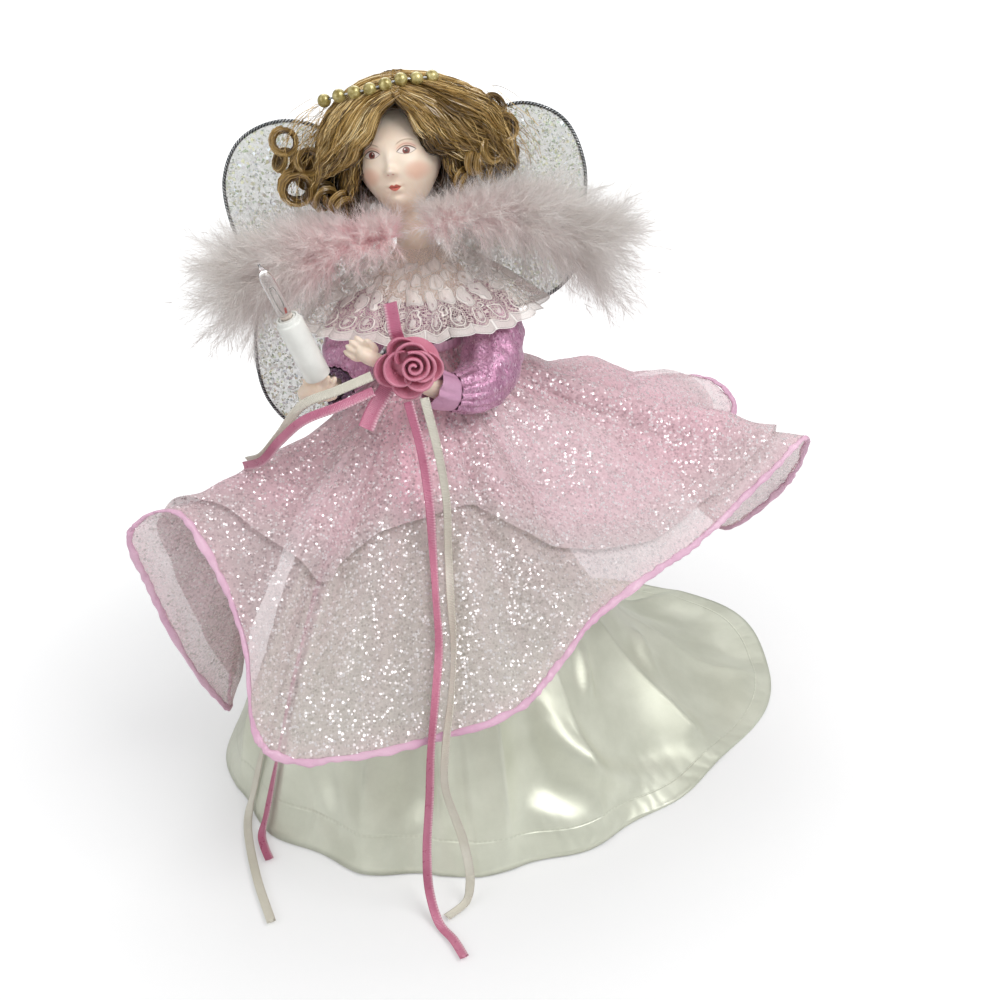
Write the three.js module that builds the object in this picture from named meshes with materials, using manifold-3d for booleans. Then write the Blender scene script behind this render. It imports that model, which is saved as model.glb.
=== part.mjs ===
// Angel tree topper: a doll with a porcelain bust on a card cone that slips over the tip of a tree.
// Millimetres, +Z up. The origin is the centre of the cone's mouth, on the surface that it stands on.
// The figure faces -Y. Left and right are the figure's own, so its right hand is on the -X side.
import * as THREE from "three";
import { mergeVertices } from "three/addons/utils/BufferGeometryUtils.js";
import Module from "manifold-3d";

const wasm = await Module();
wasm.setup();

const GAP = 0.3; // between pieces that touch, glued or sewn

// Card cone
const CONE_HEIGHT = 180;
const CONE_MOUTH_RADIUS = 44;
const CONE_TOP_RADIUS = 11;
const CONE_WALL = 1.6;

// Stuffed torso, heights above the cone's top
const WAIST_RADIUS = 10;
const WAIST_HEIGHT = 9;
const CHEST_HEIGHT = 21;
const CHEST_HALF_WIDTH = 14;
const CHEST_HALF_DEPTH = 10.5;
const SHOULDER_HEIGHT = 32;
const SHOULDER_SLOPE = 1; // how much narrower the shoulders are than the chest
const TORSO_CROWN = 8; // rise of the torso above the shoulders
const BODICE_CLOTH = 1;
const BODICE_FOOT = 1;

// Porcelain bust, heights above the shoulders
const PLATE_DROP = 6;
const PLATE_HALF_WIDTH = 18.5;
const PLATE_HALF_DEPTH = 14;
const NECK_RADIUS = 7.5;
const NECK_FOOT = 15;
const PLATE_SLOPE = new THREE.Vector2(0.8, 0.85); // share of the plate's width and depth over the shoulders
const NECK_SPREAD = new THREE.Vector2(1.35, 1.25); // share of the neck's radius where it meets the plate
const NECK_TAPER = 0.92;
const HEAD_CENTRE = new THREE.Vector3(-2, -4, 52);
const HEAD_RADII = new THREE.Vector3(16.5, 18.5, 22);
const CHIN_OFFSET = new THREE.Vector3(0, -7.5, -11);
const CHIN_RADII = new THREE.Vector3(11.5, 10, 10.5);
const HEAD_TURN = -0.27; // radians about Z, towards the right hand

// Wig and the beads on it
const WIG_THICKNESS = 3.2;
const WIG_OFFSET = new THREE.Vector3(0, 3, 2); // middle of the hair, from the middle of the head
const CROWN_OFFSET = new THREE.Vector3(2, -2, 8); // hair piled over the brow, from the middle of the head
const CROWN_RADII = new THREE.Vector3(35, 18, 15);
const FACE_OPENING = new THREE.Vector3(13, 15, 19);
const CURL_TUBE = 2.4;
const CURL_LOOP = 6.2;
const CURL_LOOP_OFFSET = new THREE.Vector2(-2, -2); // forward and up from the middle of the head
const CURLS_RIGHT_REACH = 53;
const CURLS_LEFT_REACH = 46;
// Balls of one heap of curls: distance in from its reach, then forward, up and the radius.
const CURL_HEAP = [
  [21, 2, 2, 11],
  [15, -2, -10, 9],
  [12, 0, 6, 9],
  [21, 1, -15, 8],
  [8, -1, -5, 8],
];
const BEAD_COUNT = 8;
const BEAD_RADIUS = 2.5;
const BEAD_PITCH = 5.7;
const BEAD_OFFSET = new THREE.Vector2(-6.5, -5); // middle of the strand, from the middle of the head
const BEAD_BOW = 6.5; // how far the middle of the strand comes forward of its ends
const THREAD_RADIUS = 0.6;

// Lace collar and feather boa, heights above the shoulders
const LACE_CLOTH = 0.8;
const LACE_NECK = 12;
const LACE_NECK_HEIGHT = 14.5;
const LACE_REACH_FRONT = 41;
const LACE_REACH_SIDE = 48;
const LACE_DROP = 27;
const LACE_HALF_SPAN = 1.83; // radians each way from the front
const LACE_SCALLOPS = 9;
const LACE_SCALLOP_DEPTH = 3;
const LACE_END_CUT = 4; // how much shorter the lace is at its ends
const LACE_CURVE = 1.15; // how the lace bends down from the neck
const LACE_ROWS = [0, 0.35, 0.7, 1];
const LACE_OUT = new THREE.Vector2(0.55, 0.83); // out and up from the face of the lace
const BOA_RADIUS = 10;
const BOA_RING = new THREE.Vector2(34, 17);
const BOA_LEAD = 9; // how far the ring lies in front of the neck
const BOA_HEIGHT = 18;
const BOA_DIP = 0.1; // slope of the ring, higher in front
// Tufts over each shoulder: distance out, forward and up, then half length, half depth and half height.
const BOA_TUFTS = [
  [36, -9, 13, 17, 14, 11],
  [52, -8, 9, 20, 16, 18],
  [68, -6, 6, 24, 16, 22],
];

// Arms: wire armature, puffed sleeve, porcelain forearm
const ARM_DROP = 10; // arm holes below the shoulders
const ARM_WIRE_RADIUS = 1.2;
const ARM_WIRE_DEPTH = 7; // how far from the middle of the torso the wire starts
const SLEEVE_CLOTH = 0.9;
const SLEEVE_PUFF = 11.5;
const SLEEVE_MOUTH = 7;
const CUFF_FLARE = 8.6;
const PUFF_LEAD = 1.04; // how early the sleeve is gathered again
const PUFF_CURVE = 0.7;
const CUFF_LENGTH = 0.09; // share of the arm's curve
const CUFF_INSET = 1; // how much narrower the cuff starts than the sleeve's mouth
const CUFF_PAST_ELBOW = 0.02; // share of the arm's curve
const ELBOW_RADIUS = 4.2;
const WRIST_RADIUS = 3;
const PALM_RADII = new THREE.Vector3(5.2, 5.6, 6.6);
const FINGER_RADII = new THREE.Vector3(1.7, 1.7, 5.4);
const PALM_REACH = 0.7; // share of the palm's length from the wrist to its middle
const FINGER_REACH = 1.55; // share of the palm's length from the wrist to the middle of the fingers
const FINGER_PITCH = 1.5; // share of the finger's width
const FINGER_PLACES = [-1.5, -0.5, 0.5, 1.5];
const THUMB_OUT = 0.8; // share of the palm's width
const LEFT_POINTING = new THREE.Vector3(-0.75, -0.2, 0.63).normalize();
const RIGHT_POINTING = new THREE.Vector3(0.45, -0.72, 0.53).normalize();
const LEFT_SPREAD = 1; // how far the fingers lie to the side of the palm
const RIGHT_SPREAD = 2;
const LEFT_ARM = [
  [26, -10, -16],
  [21, -31, -34],
  [8, -41, -34],
  [-18, -49.5, -16],
];
const RIGHT_ARM = [
  [-26, -9, -16],
  [-34, -20, -32],
  [-42, -34, -32],
  [-45.5, -47, -27],
];
const LEFT_ELBOW_AT = 0.66;
const RIGHT_ELBOW_AT = 0.6;

// Candle in the right hand
const CANDLE_FOOT = new THREE.Vector3(-40.2, -55.2, -17);
const CANDLE_LEAN = new THREE.Vector3(-7, -5, 23).normalize();
const CANDLE_LENGTH = 24.5;
const CANDLE_RADIUS = 4.9;
const CANDLE_BORE = 3.3;
const CANDLE_FLOOR = 1.6;
const CANDLE_RIM_RADIUS = 4.1;
const CANDLE_RIM_HEIGHT = 1.6;
const CANDLE_CHAMFER = 0.6;
const SOCKET_WALL = 0.8;
const SOCKET_DEPTH = 8;
const BULB_COLLAR_HEIGHT = 1.2;
const BULB_RADIUS = 2.5;
const BULB_GLASS = 0.5;
const BULB_BARREL = 15;
const BULB_TIP = 6;
// Pointed end of the glass: share of the radius, then share of the tip's height.
const BULB_POINT = [0.3, 0.7];
const BULB_SHOULDER = [0.8, 0.25];
const BULB_ROOF = 0.3; // share of the tip's height that is hollow
const LEAD_RADIUS = 0.3;
const LEAD_SPREAD = 0.9;
const LEAD_LENGTH = 11;
const LEAD_SHOULDER = 0.8; // share of the leads' height at which they bend to each other
const LEAD_BRIDGE = 0.4; // share of their spread at the top

// Wings: a wire loop round a film, turning in a casing sewn to the back
const WING_SETBACK = 21;
const WING_ROOT = 3.5;
const WING_ROOT_TOP = 2;
const WING_ROOT_FOOT = -24;
const WING_WIRE_RADIUS = 1.1;
const WING_FILM = 0.5;
const CASING_HALF_WIDTH = 6.5;
const CASING_HEIGHT = 12;
const CASING_BACK = 3;
const RIGHT_WING = [
  [-10, 24],
  [-26, 52],
  [-46, 60.5],
  [-64, 55],
  [-73, 40],
  [-72, 18],
  [-64, -3],
  [-69, -19],
  [-71.5, -36],
  [-69, -54],
  [-60, -65.5],
  [-44, -60],
  [-20, -40],
];
const LEFT_WING = [
  [10, 24],
  [26, 52],
  [45, 60],
  [62, 53],
  [70, 35],
  [69, 13],
  [66, -6],
  [56, -17],
  [38, -23],
  [18, -27],
];

// Skirts, from the waist down
const SATIN = 0.8;
const ORGANZA = 0.8;
const LAYER_GAP = 0.6; // between the layers at the waist
const SKIRT_TOP = 7; // above the cone's top
const SKIRT_FALL = 6; // the straight part under the waistband
const SATIN_REACH = 108;
const SATIN_TRAIN = 50; // how much further the train reaches, behind the left arm
const TRAIN_ANGLE = 112;
const TRAIN_SPREAD = 44;
const BELL_ANGLE = 322; // where the skirt hangs fullest, over the right foot
const BELL_SPREAD = 75;
const BELL_FULLNESS = 0.62;
const SATIN_FOLDS = 13;
const SATIN_FOLD_DEPTH = 4.2;
const FOLD_DRIFT = 1.2; // radians by which the folds crowd together
const TRAIN_CREASE = 5;
const SKIRT_SWEEP = 1.6; // how fast the satin falls away from the waist
const TRAIN_SWEEP = 2.5;
const BELL_SWEEP = 2.4;
const HEM_ROLL = 1.1;
const TIER_SPACE = 1.7; // between the two organza layers
const UPPER_FRONT = 0.44; // share of the lower layer that the upper one covers in front
const UPPER_SIDE = 0.92;
const UPPER_TURN = new THREE.Vector2(8, 58); // degrees from the front over which it grows longer
const BAND_CLOTH = 1.4;
const BAND_HEIGHT = 4;
// Hem of the long organza layer: degrees round the waist, then x, y, z of the hem, and the cloth's swell.
const LOWER_HEM = [
  [0, -8.6, -115, 74.6, 1],
  [12, 21.5, -110, 80.6, 1],
  [24, 36, -101, 90, 0],
  [36, 51, -90, 101.4, -2],
  [48, 73.3, -72, 105.9, -3],
  [60, 97, -52, 107.9, -3],
  [68, 112, -41, 113, -3],
  [76, 135, -30, 126.9, -4],
  [84, 152, -18, 134.6, -5],
  [91, 154, 0, 111, -2],
  [97, 145, 10, 92, 2],
  [102, 127, 24, 74, 6],
  [106, 124, 36, 95, 2],
  [110, 138, 45, 125, -3],
  [116, 132, 55, 133, -5],
  [122, 117.7, 65, 134, -5],
  [130, 99.8, 72, 129.8, -5],
  [145, 70, 88, 110, -2],
  [165, 30, 106, 118, -2],
  [185, -12, 108, 122, -2],
  [205, -50, 92, 95, 0],
  [225, -78, 66, 70, 2],
  [250, -99, 28, 44, 5],
  [270, -103, -6, 31, 9],
  [282, -101, -22, 33, 8],
  [290, -110, -38, 69, 2],
  [296, -117.5, -46, 112, -5],
  [301, -119, -52, 136, -10],
  [305, -110, -53, 144.5, -12],
  [310, -99, -55, 145.5, -11],
  [316, -87, -67, 130, -8],
  [324, -76, -92, 109, -4],
  [332, -74.8, -108, 78, 0],
  [338, -66, -112, 70, 1],
  [348, -40, -115, 70, 1],
];

// Ribbon rose at the waist, with its bow, and the ribbon tails
const ROSE_CENTRE = new THREE.Vector3(-8, -54, -16);
const ROSE_TURNS = 3.3;
const ROSE_PITCH = 2.7;
const ROSE_CORE = 1;
const ROSE_DEPTH = 9;
const ROSE_CLOTH = 0.9;
const ROSE_FLARE = 0.28; // lean of the rim, and drop of the outer turns, for each millimetre out
const ROSE_STEPS = 22; // facets of one turn
const RIBBON_WIDTH = 4.6;
const RIBBON_THICKNESS = 0.8;
const BOW_WIDTH = 6;
const BOW_LOOP_AT = 1.1; // share of the rose's radius at which the loop leaves it
const BOW_STUB_AT = 0.74;
const RIBBON_SIDES = 8;
const RIBBON_LIES = new THREE.Vector2(2, 16); // heights between which a ribbon turns from lying to hanging
// Points of the ribbons, above the surface that the topper stands on.
const FRONT_PINK = [
  [-8.5, -61.3, 183.9],
  [-5.5, -63.5, 165],
  [-4.5, -66, 145],
  [-5, -71.5, 125.5],
  [-5.5, -83, 113],
  [-6, -95, 100],
  [-9, -108, 86.5],
  [-12.5, -121.5, 72],
  [-14.5, -123.5, 55],
  [-18, -124.5, 28],
  [-18.5, -125, 9],
  [-16, -133, 1.7],
  [-11, -142, 1.5],
  [-7.5, -151, 1.5],
];
const FRONT_IVORY = [
  [-2.5, -61.3, 184.9],
  [0.5, -63.5, 165],
  [2, -66, 145],
  [0.8, -72, 125.5],
  [0, -84, 112.5],
  [-0.5, -95.5, 100],
  [-3, -108, 87],
  [-7, -121.5, 73],
  [-8.5, -123.5, 58],
  [-4, -123.5, 32],
  [-3, -121, 9],
  [-5, -123, 1.8],
  [-9, -127, 1.5],
  [-13, -130, 1.5],
];
const HAND_PINK = [
  [-20.5, -62, 189.5],
  [-33, -66, 186.5],
  [-46, -66, 182.5],
  [-57, -58.5, 172],
  [-66, -49, 160.5],
  [-75, -36.5, 153.6],
];
const HAND_IVORY = [
  [-20.5, -61, 195],
  [-33, -64.5, 192],
  [-46, -63.5, 187.5],
  [-57, -56, 173.4],
  [-66, -46.4, 161.5],
  [-73.5, -35, 155],
];
const TAIL_PINK = [
  [-23.3, -20.3, 160],
  [-35.1, -28.4, 140],
  [-53.1, -43, 100],
  [-61.1, -49.5, 80],
  [-73, -59.1, 46],
  [-84.5, -68.4, 10],
  [-87.4, -72, 1.8],
  [-85.8, -79.5, 1.5],
  [-83.2, -87, 1.5],
];
const TAIL_IVORY = [
  [-20.6, -11.9, 168],
  [-37.5, -21.7, 140],
  [-57.2, -33.1, 100],
  [-65.8, -38, 80],
  [-78.8, -45.5, 46],
  [-91.2, -52.7, 10],
  [-94.2, -57, 1.8],
  [-93.6, -68, 1.5],
  [-87.5, -97, 1.5],
  [-79.8, -122.4, 1.5],
];

// Facets round a round section
const FINE = 24;
const ROUND = 16;
const COARSE = 12;
const WIRE_SIDES = 6;

const vec = (p) => new THREE.Vector3(...p);

/** One position per vertex and no flat triangles, with the faces turned outwards. */
function tidy(geometry) {
  const bare = new THREE.BufferGeometry();
  const source = geometry.index ? geometry.toNonIndexed() : geometry;
  bare.setAttribute("position", source.getAttribute("position").clone());
  const merged = mergeVertices(bare, 1e-4);
  const index = merged.index.array;
  const kept = [];
  for (let i = 0; i < index.length; i += 3) {
    const [a, b, c] = index.slice(i, i + 3);
    if (a !== b && b !== c && c !== a) kept.push(a, b, c);
  }
  const at = merged.getAttribute("position");
  const [p, q, r] = [0, 1, 2].map(() => new THREE.Vector3());
  let volume = 0;
  for (let i = 0; i < kept.length; i += 3) {
    p.fromBufferAttribute(at, kept[i]);
    q.fromBufferAttribute(at, kept[i + 1]);
    r.fromBufferAttribute(at, kept[i + 2]);
    volume += p.dot(q.cross(r));
  }
  merged.setIndex(volume < 0 ? kept.reverse() : kept);
  return merged;
}

/** A closed geometry as a solid that can be joined and cut. */
function solid(geometry) {
  const g = tidy(geometry);
  return new wasm.Manifold(
    new wasm.Mesh({
      numProp: 3,
      vertProperties: new Float32Array(g.getAttribute("position").array),
      triVerts: new Uint32Array(g.index.array),
    }),
  );
}

/** A joined or cut solid back as a geometry. */
function geometryOf(made) {
  const mesh = made.getMesh();
  const g = new THREE.BufferGeometry();
  g.setAttribute("position", new THREE.Float32BufferAttribute(mesh.vertProperties, 3));
  g.setIndex(new THREE.BufferAttribute(new Uint32Array(mesh.triVerts), 1));
  return g;
}

const join = (...parts) => parts.reduce((all, part) => all.add(part));
const cut = (body, ...tools) => tools.reduce((left, tool) => left.subtract(tool), body);

/** The largest piece of a solid that a cut has left in several. */
function largest(made) {
  return made.decompose().reduce((a, b) => (a.volume() > b.volume() ? a : b));
}

/** Skin over rings of points: with looped the last ring joins the first, otherwise both ends are filled. */
function loft(rings, looped = false) {
  const count = rings[0].length;
  const points = rings.flat();
  const index = [];
  const bands = looped ? rings.length : rings.length - 1;
  for (let i = 0; i < bands; i++) {
    const next = ((i + 1) % rings.length) * count;
    for (let j = 0; j < count; j++) {
      const k = (j + 1) % count;
      index.push(i * count + j, i * count + k, next + k, i * count + j, next + k, next + j);
    }
  }
  if (!looped) {
    const ends = [[0, true], [(rings.length - 1) * count, false]];
    for (const [start, turned] of ends) {
      const ring = points.slice(start, start + count);
      const hub = points.length;
      points.push(ring.reduce((s, p) => s.add(p), new THREE.Vector3()).divideScalar(count));
      for (let j = 0; j < count; j++) {
        const k = (j + 1) % count;
        index.push(hub, start + (turned ? k : j), start + (turned ? j : k));
      }
    }
  }
  const g = new THREE.BufferGeometry().setFromPoints(points);
  g.setIndex(index);
  return tidy(g);
}

const ellipseRing = (rx, ry, z, sides) =>
  Array.from({ length: sides }, (_, j) => {
    const a = (2 * Math.PI * j) / sides;
    return new THREE.Vector3(rx * Math.sin(a), -ry * Math.cos(a), z);
  });

/** Rings of a tube along a curve between two shares of its length, with a radius for each share. */
function tubeRings(curve, from, to, steps, radius, sides) {
  const up = new THREE.Vector3(0.2, 0.3, 1).normalize();
  return Array.from({ length: steps + 1 }, (_, i) => {
    const t = i / steps;
    const at = curve.getPointAt(from + (to - from) * t);
    const ahead = curve.getTangentAt(from + (to - from) * t);
    const side = new THREE.Vector3().crossVectors(ahead, up).normalize();
    const over = new THREE.Vector3().crossVectors(side, ahead);
    return Array.from({ length: sides }, (__, j) => {
      const a = (2 * Math.PI * j) / sides;
      return at
        .clone()
        .addScaledVector(side, radius(t) * Math.cos(a))
        .addScaledVector(over, radius(t) * Math.sin(a));
    });
  });
}

/** Tube of a round wire through a closed run of points that lie near one plane with the given normal. */
function wireLoop(points, normal, radius, sides) {
  const rings = points.map((p, i) => {
    const before = points[(i + points.length - 1) % points.length];
    const after = points[(i + 1) % points.length];
    const ahead = after.clone().sub(before).normalize();
    const out = new THREE.Vector3().crossVectors(ahead, normal).normalize();
    const over = new THREE.Vector3().crossVectors(out, ahead);
    return Array.from({ length: sides }, (_, j) => {
      const a = (2 * Math.PI * j) / sides;
      return p
        .clone()
        .addScaledVector(out, radius * Math.cos(a))
        .addScaledVector(over, radius * Math.sin(a));
    });
  });
  return loft(rings, true);
}

/** A flat ribbon through points, with a rounded section. Its face is turned out, and up where it lies. */
function ribbon(points, width, thickness, face, steps) {
  const curve = new THREE.CatmullRomCurve3(points);
  const section = Array.from({ length: RIBBON_SIDES }, (_, j) => {
    const a = (2 * Math.PI * (j + 0.5)) / RIBBON_SIDES;
    const grip = 1 / Math.cos(Math.PI / RIBBON_SIDES);
    return [(grip * Math.cos(a) * width) / 2, (grip * Math.sin(a) * thickness) / 2];
  });
  const rings = Array.from({ length: steps + 1 }, (_, i) => {
    const at = curve.getPointAt(i / steps);
    const ahead = curve.getTangentAt(i / steps);
    const lifted = THREE.MathUtils.smoothstep(at.z, RIBBON_LIES.x, RIBBON_LIES.y);
    const front = new THREE.Vector3(0, 0, 1).lerp(face, lifted);
    const across = new THREE.Vector3().crossVectors(ahead, front).normalize();
    const out = new THREE.Vector3().crossVectors(across, ahead);
    return section.map(([w, t]) => at.clone().addScaledVector(across, w).addScaledVector(out, t));
  });
  return loft(rings);
}

const ball = (centre, radii, wide = COARSE, high = 8) =>
  new THREE.SphereGeometry(1, wide, high).scale(radii.x, radii.y, radii.z).translate(...centre);

const grown = (radii, by) => new THREE.Vector3(radii.x + by, radii.y + by, radii.z + by);

function lathe(profile, sides = ROUND) {
  const g = new THREE.LatheGeometry(profile.map(([r, z]) => new THREE.Vector2(r, z)), sides);
  return tidy(g.rotateX(Math.PI / 2));
}

// Torso, bust and what is worn on them

const shoulderWidth = CHEST_HALF_WIDTH - SHOULDER_SLOPE;
const shoulderDepth = CHEST_HALF_DEPTH - SHOULDER_SLOPE;
const torsoTop = SHOULDER_HEIGHT + TORSO_CROWN;
const plateFoot = SHOULDER_HEIGHT - PLATE_DROP;
const TORSO_ROWS = [
  [GAP, WAIST_RADIUS, WAIST_RADIUS],
  [WAIST_HEIGHT, WAIST_RADIUS, WAIST_RADIUS],
  [CHEST_HEIGHT, CHEST_HALF_WIDTH, CHEST_HALF_DEPTH],
  [SHOULDER_HEIGHT, shoulderWidth, shoulderDepth],
  [torsoTop, shoulderWidth / 2, shoulderDepth / 2],
];

/** Half width and half depth of the torso at a height. */
function torsoAt(z) {
  const upper = TORSO_ROWS.findIndex((row) => row[0] >= z);
  const k = Math.max(upper, 1);
  const [low, high] = [TORSO_ROWS[k - 1], TORSO_ROWS[k]];
  const t = (z - low[0]) / (high[0] - low[0]);
  return [1, 2].map((i) => low[i] + (high[i] - low[i]) * t);
}

const armRoot = (side) => new THREE.Vector3(side * ARM_WIRE_DEPTH, 0, -ARM_DROP);
const armMouth = (side) =>
  new THREE.Vector3(side * (CHEST_HALF_WIDTH + GAP + BODICE_CLOTH + GAP), 0, -ARM_DROP);

/** The line of an arm, from inside the torso to the wrist. */
function armCurve(side, bends) {
  const root = armRoot(side);
  const mouth = armMouth(side);
  const inside = root.clone().lerp(mouth, 0.5);
  return new THREE.CatmullRomCurve3([root, inside, mouth, ...bends.map(vec)]);
}
const leftArm = armCurve(1, LEFT_ARM);
const rightArm = armCurve(-1, RIGHT_ARM);

/** Share of an arm's length at which it leaves the bodice. */
function sleeveStart(curve, side) {
  const mouth = Math.abs(armMouth(side).x);
  let share = 0;
  while (Math.abs(curve.getPointAt(share).x) < mouth) share += 0.004;
  return share;
}

function armWire(curve, elbow, extra = 0) {
  const gap = GAP / curve.getLength();
  return loft(tubeRings(curve, 0, elbow - gap, 14, () => ARM_WIRE_RADIUS + extra, WIRE_SIDES));
}

function armHoles() {
  const wires = [armWire(leftArm, LEFT_ELBOW_AT, GAP), armWire(rightArm, RIGHT_ELBOW_AT, GAP)];
  return wires.map((wire) => solid(wire.translate(0, 0, SHOULDER_HEIGHT)));
}

function torso() {
  const rings = TORSO_ROWS.map(([z, w, d]) => ellipseRing(w, d, z, FINE));
  return geometryOf(cut(solid(loft(rings)), ...armHoles()));
}

function torsoSleeve(extra) {
  return loft(TORSO_ROWS.map(([z, w, d], i) =>
    ellipseRing(w + extra, d + extra, i === TORSO_ROWS.length - 1 ? z + extra : z, FINE)));
}

function bodice() {
  const heights = [BODICE_FOOT, WAIST_HEIGHT, CHEST_HEIGHT, plateFoot - GAP];
  const wall = (extra) =>
    heights.map((z) => {
      const [w, d] = torsoAt(z);
      return ellipseRing(w + extra, d + extra, z, FINE);
    });
  const shell = loft([...wall(GAP + BODICE_CLOTH), ...wall(GAP).reverse()], true);
  return geometryOf(cut(solid(shell), ...armHoles()));
}

/** Head and neck on a shoulder plate, in the frame of the shoulders. */
function bustSolid(extra) {
  const plate = [
    [-PLATE_DROP - extra, PLATE_HALF_WIDTH, PLATE_HALF_DEPTH],
    [0, PLATE_HALF_WIDTH, PLATE_HALF_DEPTH],
    [PLATE_DROP, PLATE_HALF_WIDTH * PLATE_SLOPE.x, PLATE_HALF_DEPTH * PLATE_SLOPE.y],
    [(TORSO_CROWN + NECK_FOOT) / 2, NECK_RADIUS * NECK_SPREAD.x, NECK_RADIUS * NECK_SPREAD.y],
    [NECK_FOOT, NECK_RADIUS, NECK_RADIUS],
    [HEAD_CENTRE.z - HEAD_RADII.z / 2, NECK_RADIUS * NECK_TAPER, NECK_RADIUS * NECK_TAPER],
  ];
  const rings = plate.map(([z, w, d]) => {
    const lean = Math.max(0, z - NECK_FOOT) / (HEAD_CENTRE.z - NECK_FOOT);
    const ring = ellipseRing(w + extra, d + extra, z, ROUND);
    return ring.map((p) => p.add(new THREE.Vector3(HEAD_CENTRE.x * lean, HEAD_CENTRE.y * lean, 0)));
  });
  const head = join(
    solid(ball([0, 0, 0], grown(HEAD_RADII, extra), 16, 10)),
    solid(ball(CHIN_OFFSET, grown(CHIN_RADII, extra), 12, 8)),
  ).rotate([0, 0, THREE.MathUtils.radToDeg(HEAD_TURN)]);
  return join(solid(loft(rings)), head.translate(HEAD_CENTRE.toArray()));
}

function bust() {
  const body = solid(torsoSleeve(GAP).translate(0, 0, -SHOULDER_HEIGHT));
  return geometryOf(cut(bustSolid(0), body));
}

// The hair round the head, then the hair piled over the brow.
const WIG_MASSES = [
  [HEAD_CENTRE.clone().add(WIG_OFFSET), grown(HEAD_RADII, WIG_THICKNESS)],
  [HEAD_CENTRE.clone().add(CROWN_OFFSET), CROWN_RADII],
];

function wigCapSolid(extra) {
  return join(...WIG_MASSES.map(([centre, radii]) => solid(ball(centre, grown(radii, extra), 13, 8))));
}

/** Height of the hair, grown by an extra thickness, over a point of the head. */
function wigTop(x, y, extra) {
  const heights = WIG_MASSES.map(([centre, radii]) => {
    const reach = grown(radii, extra);
    const flat = ((x - centre.x) / reach.x) ** 2 + ((y - centre.y) / reach.y) ** 2;
    return centre.z + reach.z * Math.sqrt(Math.max(0, 1 - flat));
  });
  return Math.max(...heights);
}

function wigCap() {
  const face = solid(ball([0, -FACE_OPENING.y, -FACE_OPENING.z / 3], FACE_OPENING, 14, 9))
    .rotate([0, 0, THREE.MathUtils.radToDeg(HEAD_TURN)])
    .translate(HEAD_CENTRE.toArray());
  return geometryOf(largest(cut(wigCapSolid(0), bustSolid(GAP), face)));
}

/** Locks at one side of the head: a heap of curls, with a ringlet that stands out on the right. */
function wigCurls(side, reach) {
  const locks = CURL_HEAP.map(([inward, y, z, r]) => {
    const centre = HEAD_CENTRE.clone().add(new THREE.Vector3(side * (reach - inward), y, z));
    return solid(ball(centre, new THREE.Vector3(r, r, r), 7, 5));
  });
  const ringlet = new THREE.TorusGeometry(CURL_LOOP, CURL_TUBE, 5, 12).rotateX(Math.PI / 2);
  const offset = new THREE.Vector3(side * (reach - CURL_LOOP), CURL_LOOP_OFFSET.x, CURL_LOOP_OFFSET.y);
  ringlet.translate(...HEAD_CENTRE.clone().add(offset));
  const mass = side < 0 ? join(...locks, solid(ringlet)) : join(...locks);
  return geometryOf(largest(cut(mass, wigCapSolid(GAP), bustSolid(GAP))));
}

/** A strand of beads on a thread, lying over the wig. */
function beadStrand() {
  const half = ((BEAD_COUNT - 1) * BEAD_PITCH) / 2;
  const middle = new THREE.Vector2(HEAD_CENTRE.x, HEAD_CENTRE.y).add(BEAD_OFFSET);
  const spots = Array.from({ length: BEAD_COUNT }, (_, i) => {
    const x = middle.x - half + i * BEAD_PITCH;
    const y = middle.y - BEAD_BOW * (1 - ((x - middle.x) / half) ** 2);
    return new THREE.Vector3(x, y, wigTop(x, y, BEAD_RADIUS + GAP));
  });
  const size = new THREE.Vector3(BEAD_RADIUS, BEAD_RADIUS, BEAD_RADIUS);
  const beads = spots.map((spot) => solid(ball(spot, size, 6, 4)));
  const thread = loft(tubeRings(new THREE.CatmullRomCurve3(spots), 0, 1, 10, () => THREAD_RADIUS, 4));
  return geometryOf(join(solid(thread), ...beads));
}

/** Lace cape round the front and sides, in the frame of the shoulders. */
function laceRings(extra) {
  const steps = 4 * LACE_SCALLOPS;
  return Array.from({ length: steps + 1 }, (_, i) => {
    const a = LACE_HALF_SPAN * (2 * (i / steps) - 1);
    const scallop = Math.abs(Math.sin((a / LACE_HALF_SPAN) * LACE_SCALLOPS * (Math.PI / 2)));
    const end = Math.max(0, Math.abs(a) - Math.PI / 2) / (LACE_HALF_SPAN - Math.PI / 2);
    const width = LACE_REACH_FRONT + (LACE_REACH_SIDE - LACE_REACH_FRONT) * Math.sin(a) ** 2;
    const reach = width + LACE_SCALLOP_DEPTH * scallop - LACE_END_CUT * end;
    const profile = LACE_ROWS.map((t) => {
      const fall = LACE_DROP * t ** LACE_CURVE;
      return [LACE_NECK + (reach - LACE_NECK) * t, LACE_NECK_HEIGHT - fall];
    });
    const place = (r, z) => new THREE.Vector3(r * Math.sin(a), -r * Math.cos(a), z);
    const half = LACE_CLOTH / 2 + extra;
    const over = profile.map(([r, z]) => place(r + half * LACE_OUT.x, z + half * LACE_OUT.y));
    const under = profile.map(([r, z]) => place(r - half * LACE_OUT.x, z - half * LACE_OUT.y));
    return [...over, ...under.reverse()];
  });
}

const lace = () => geometryOf(cut(solid(loft(laceRings(0))), bustSolid(GAP)));

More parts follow.
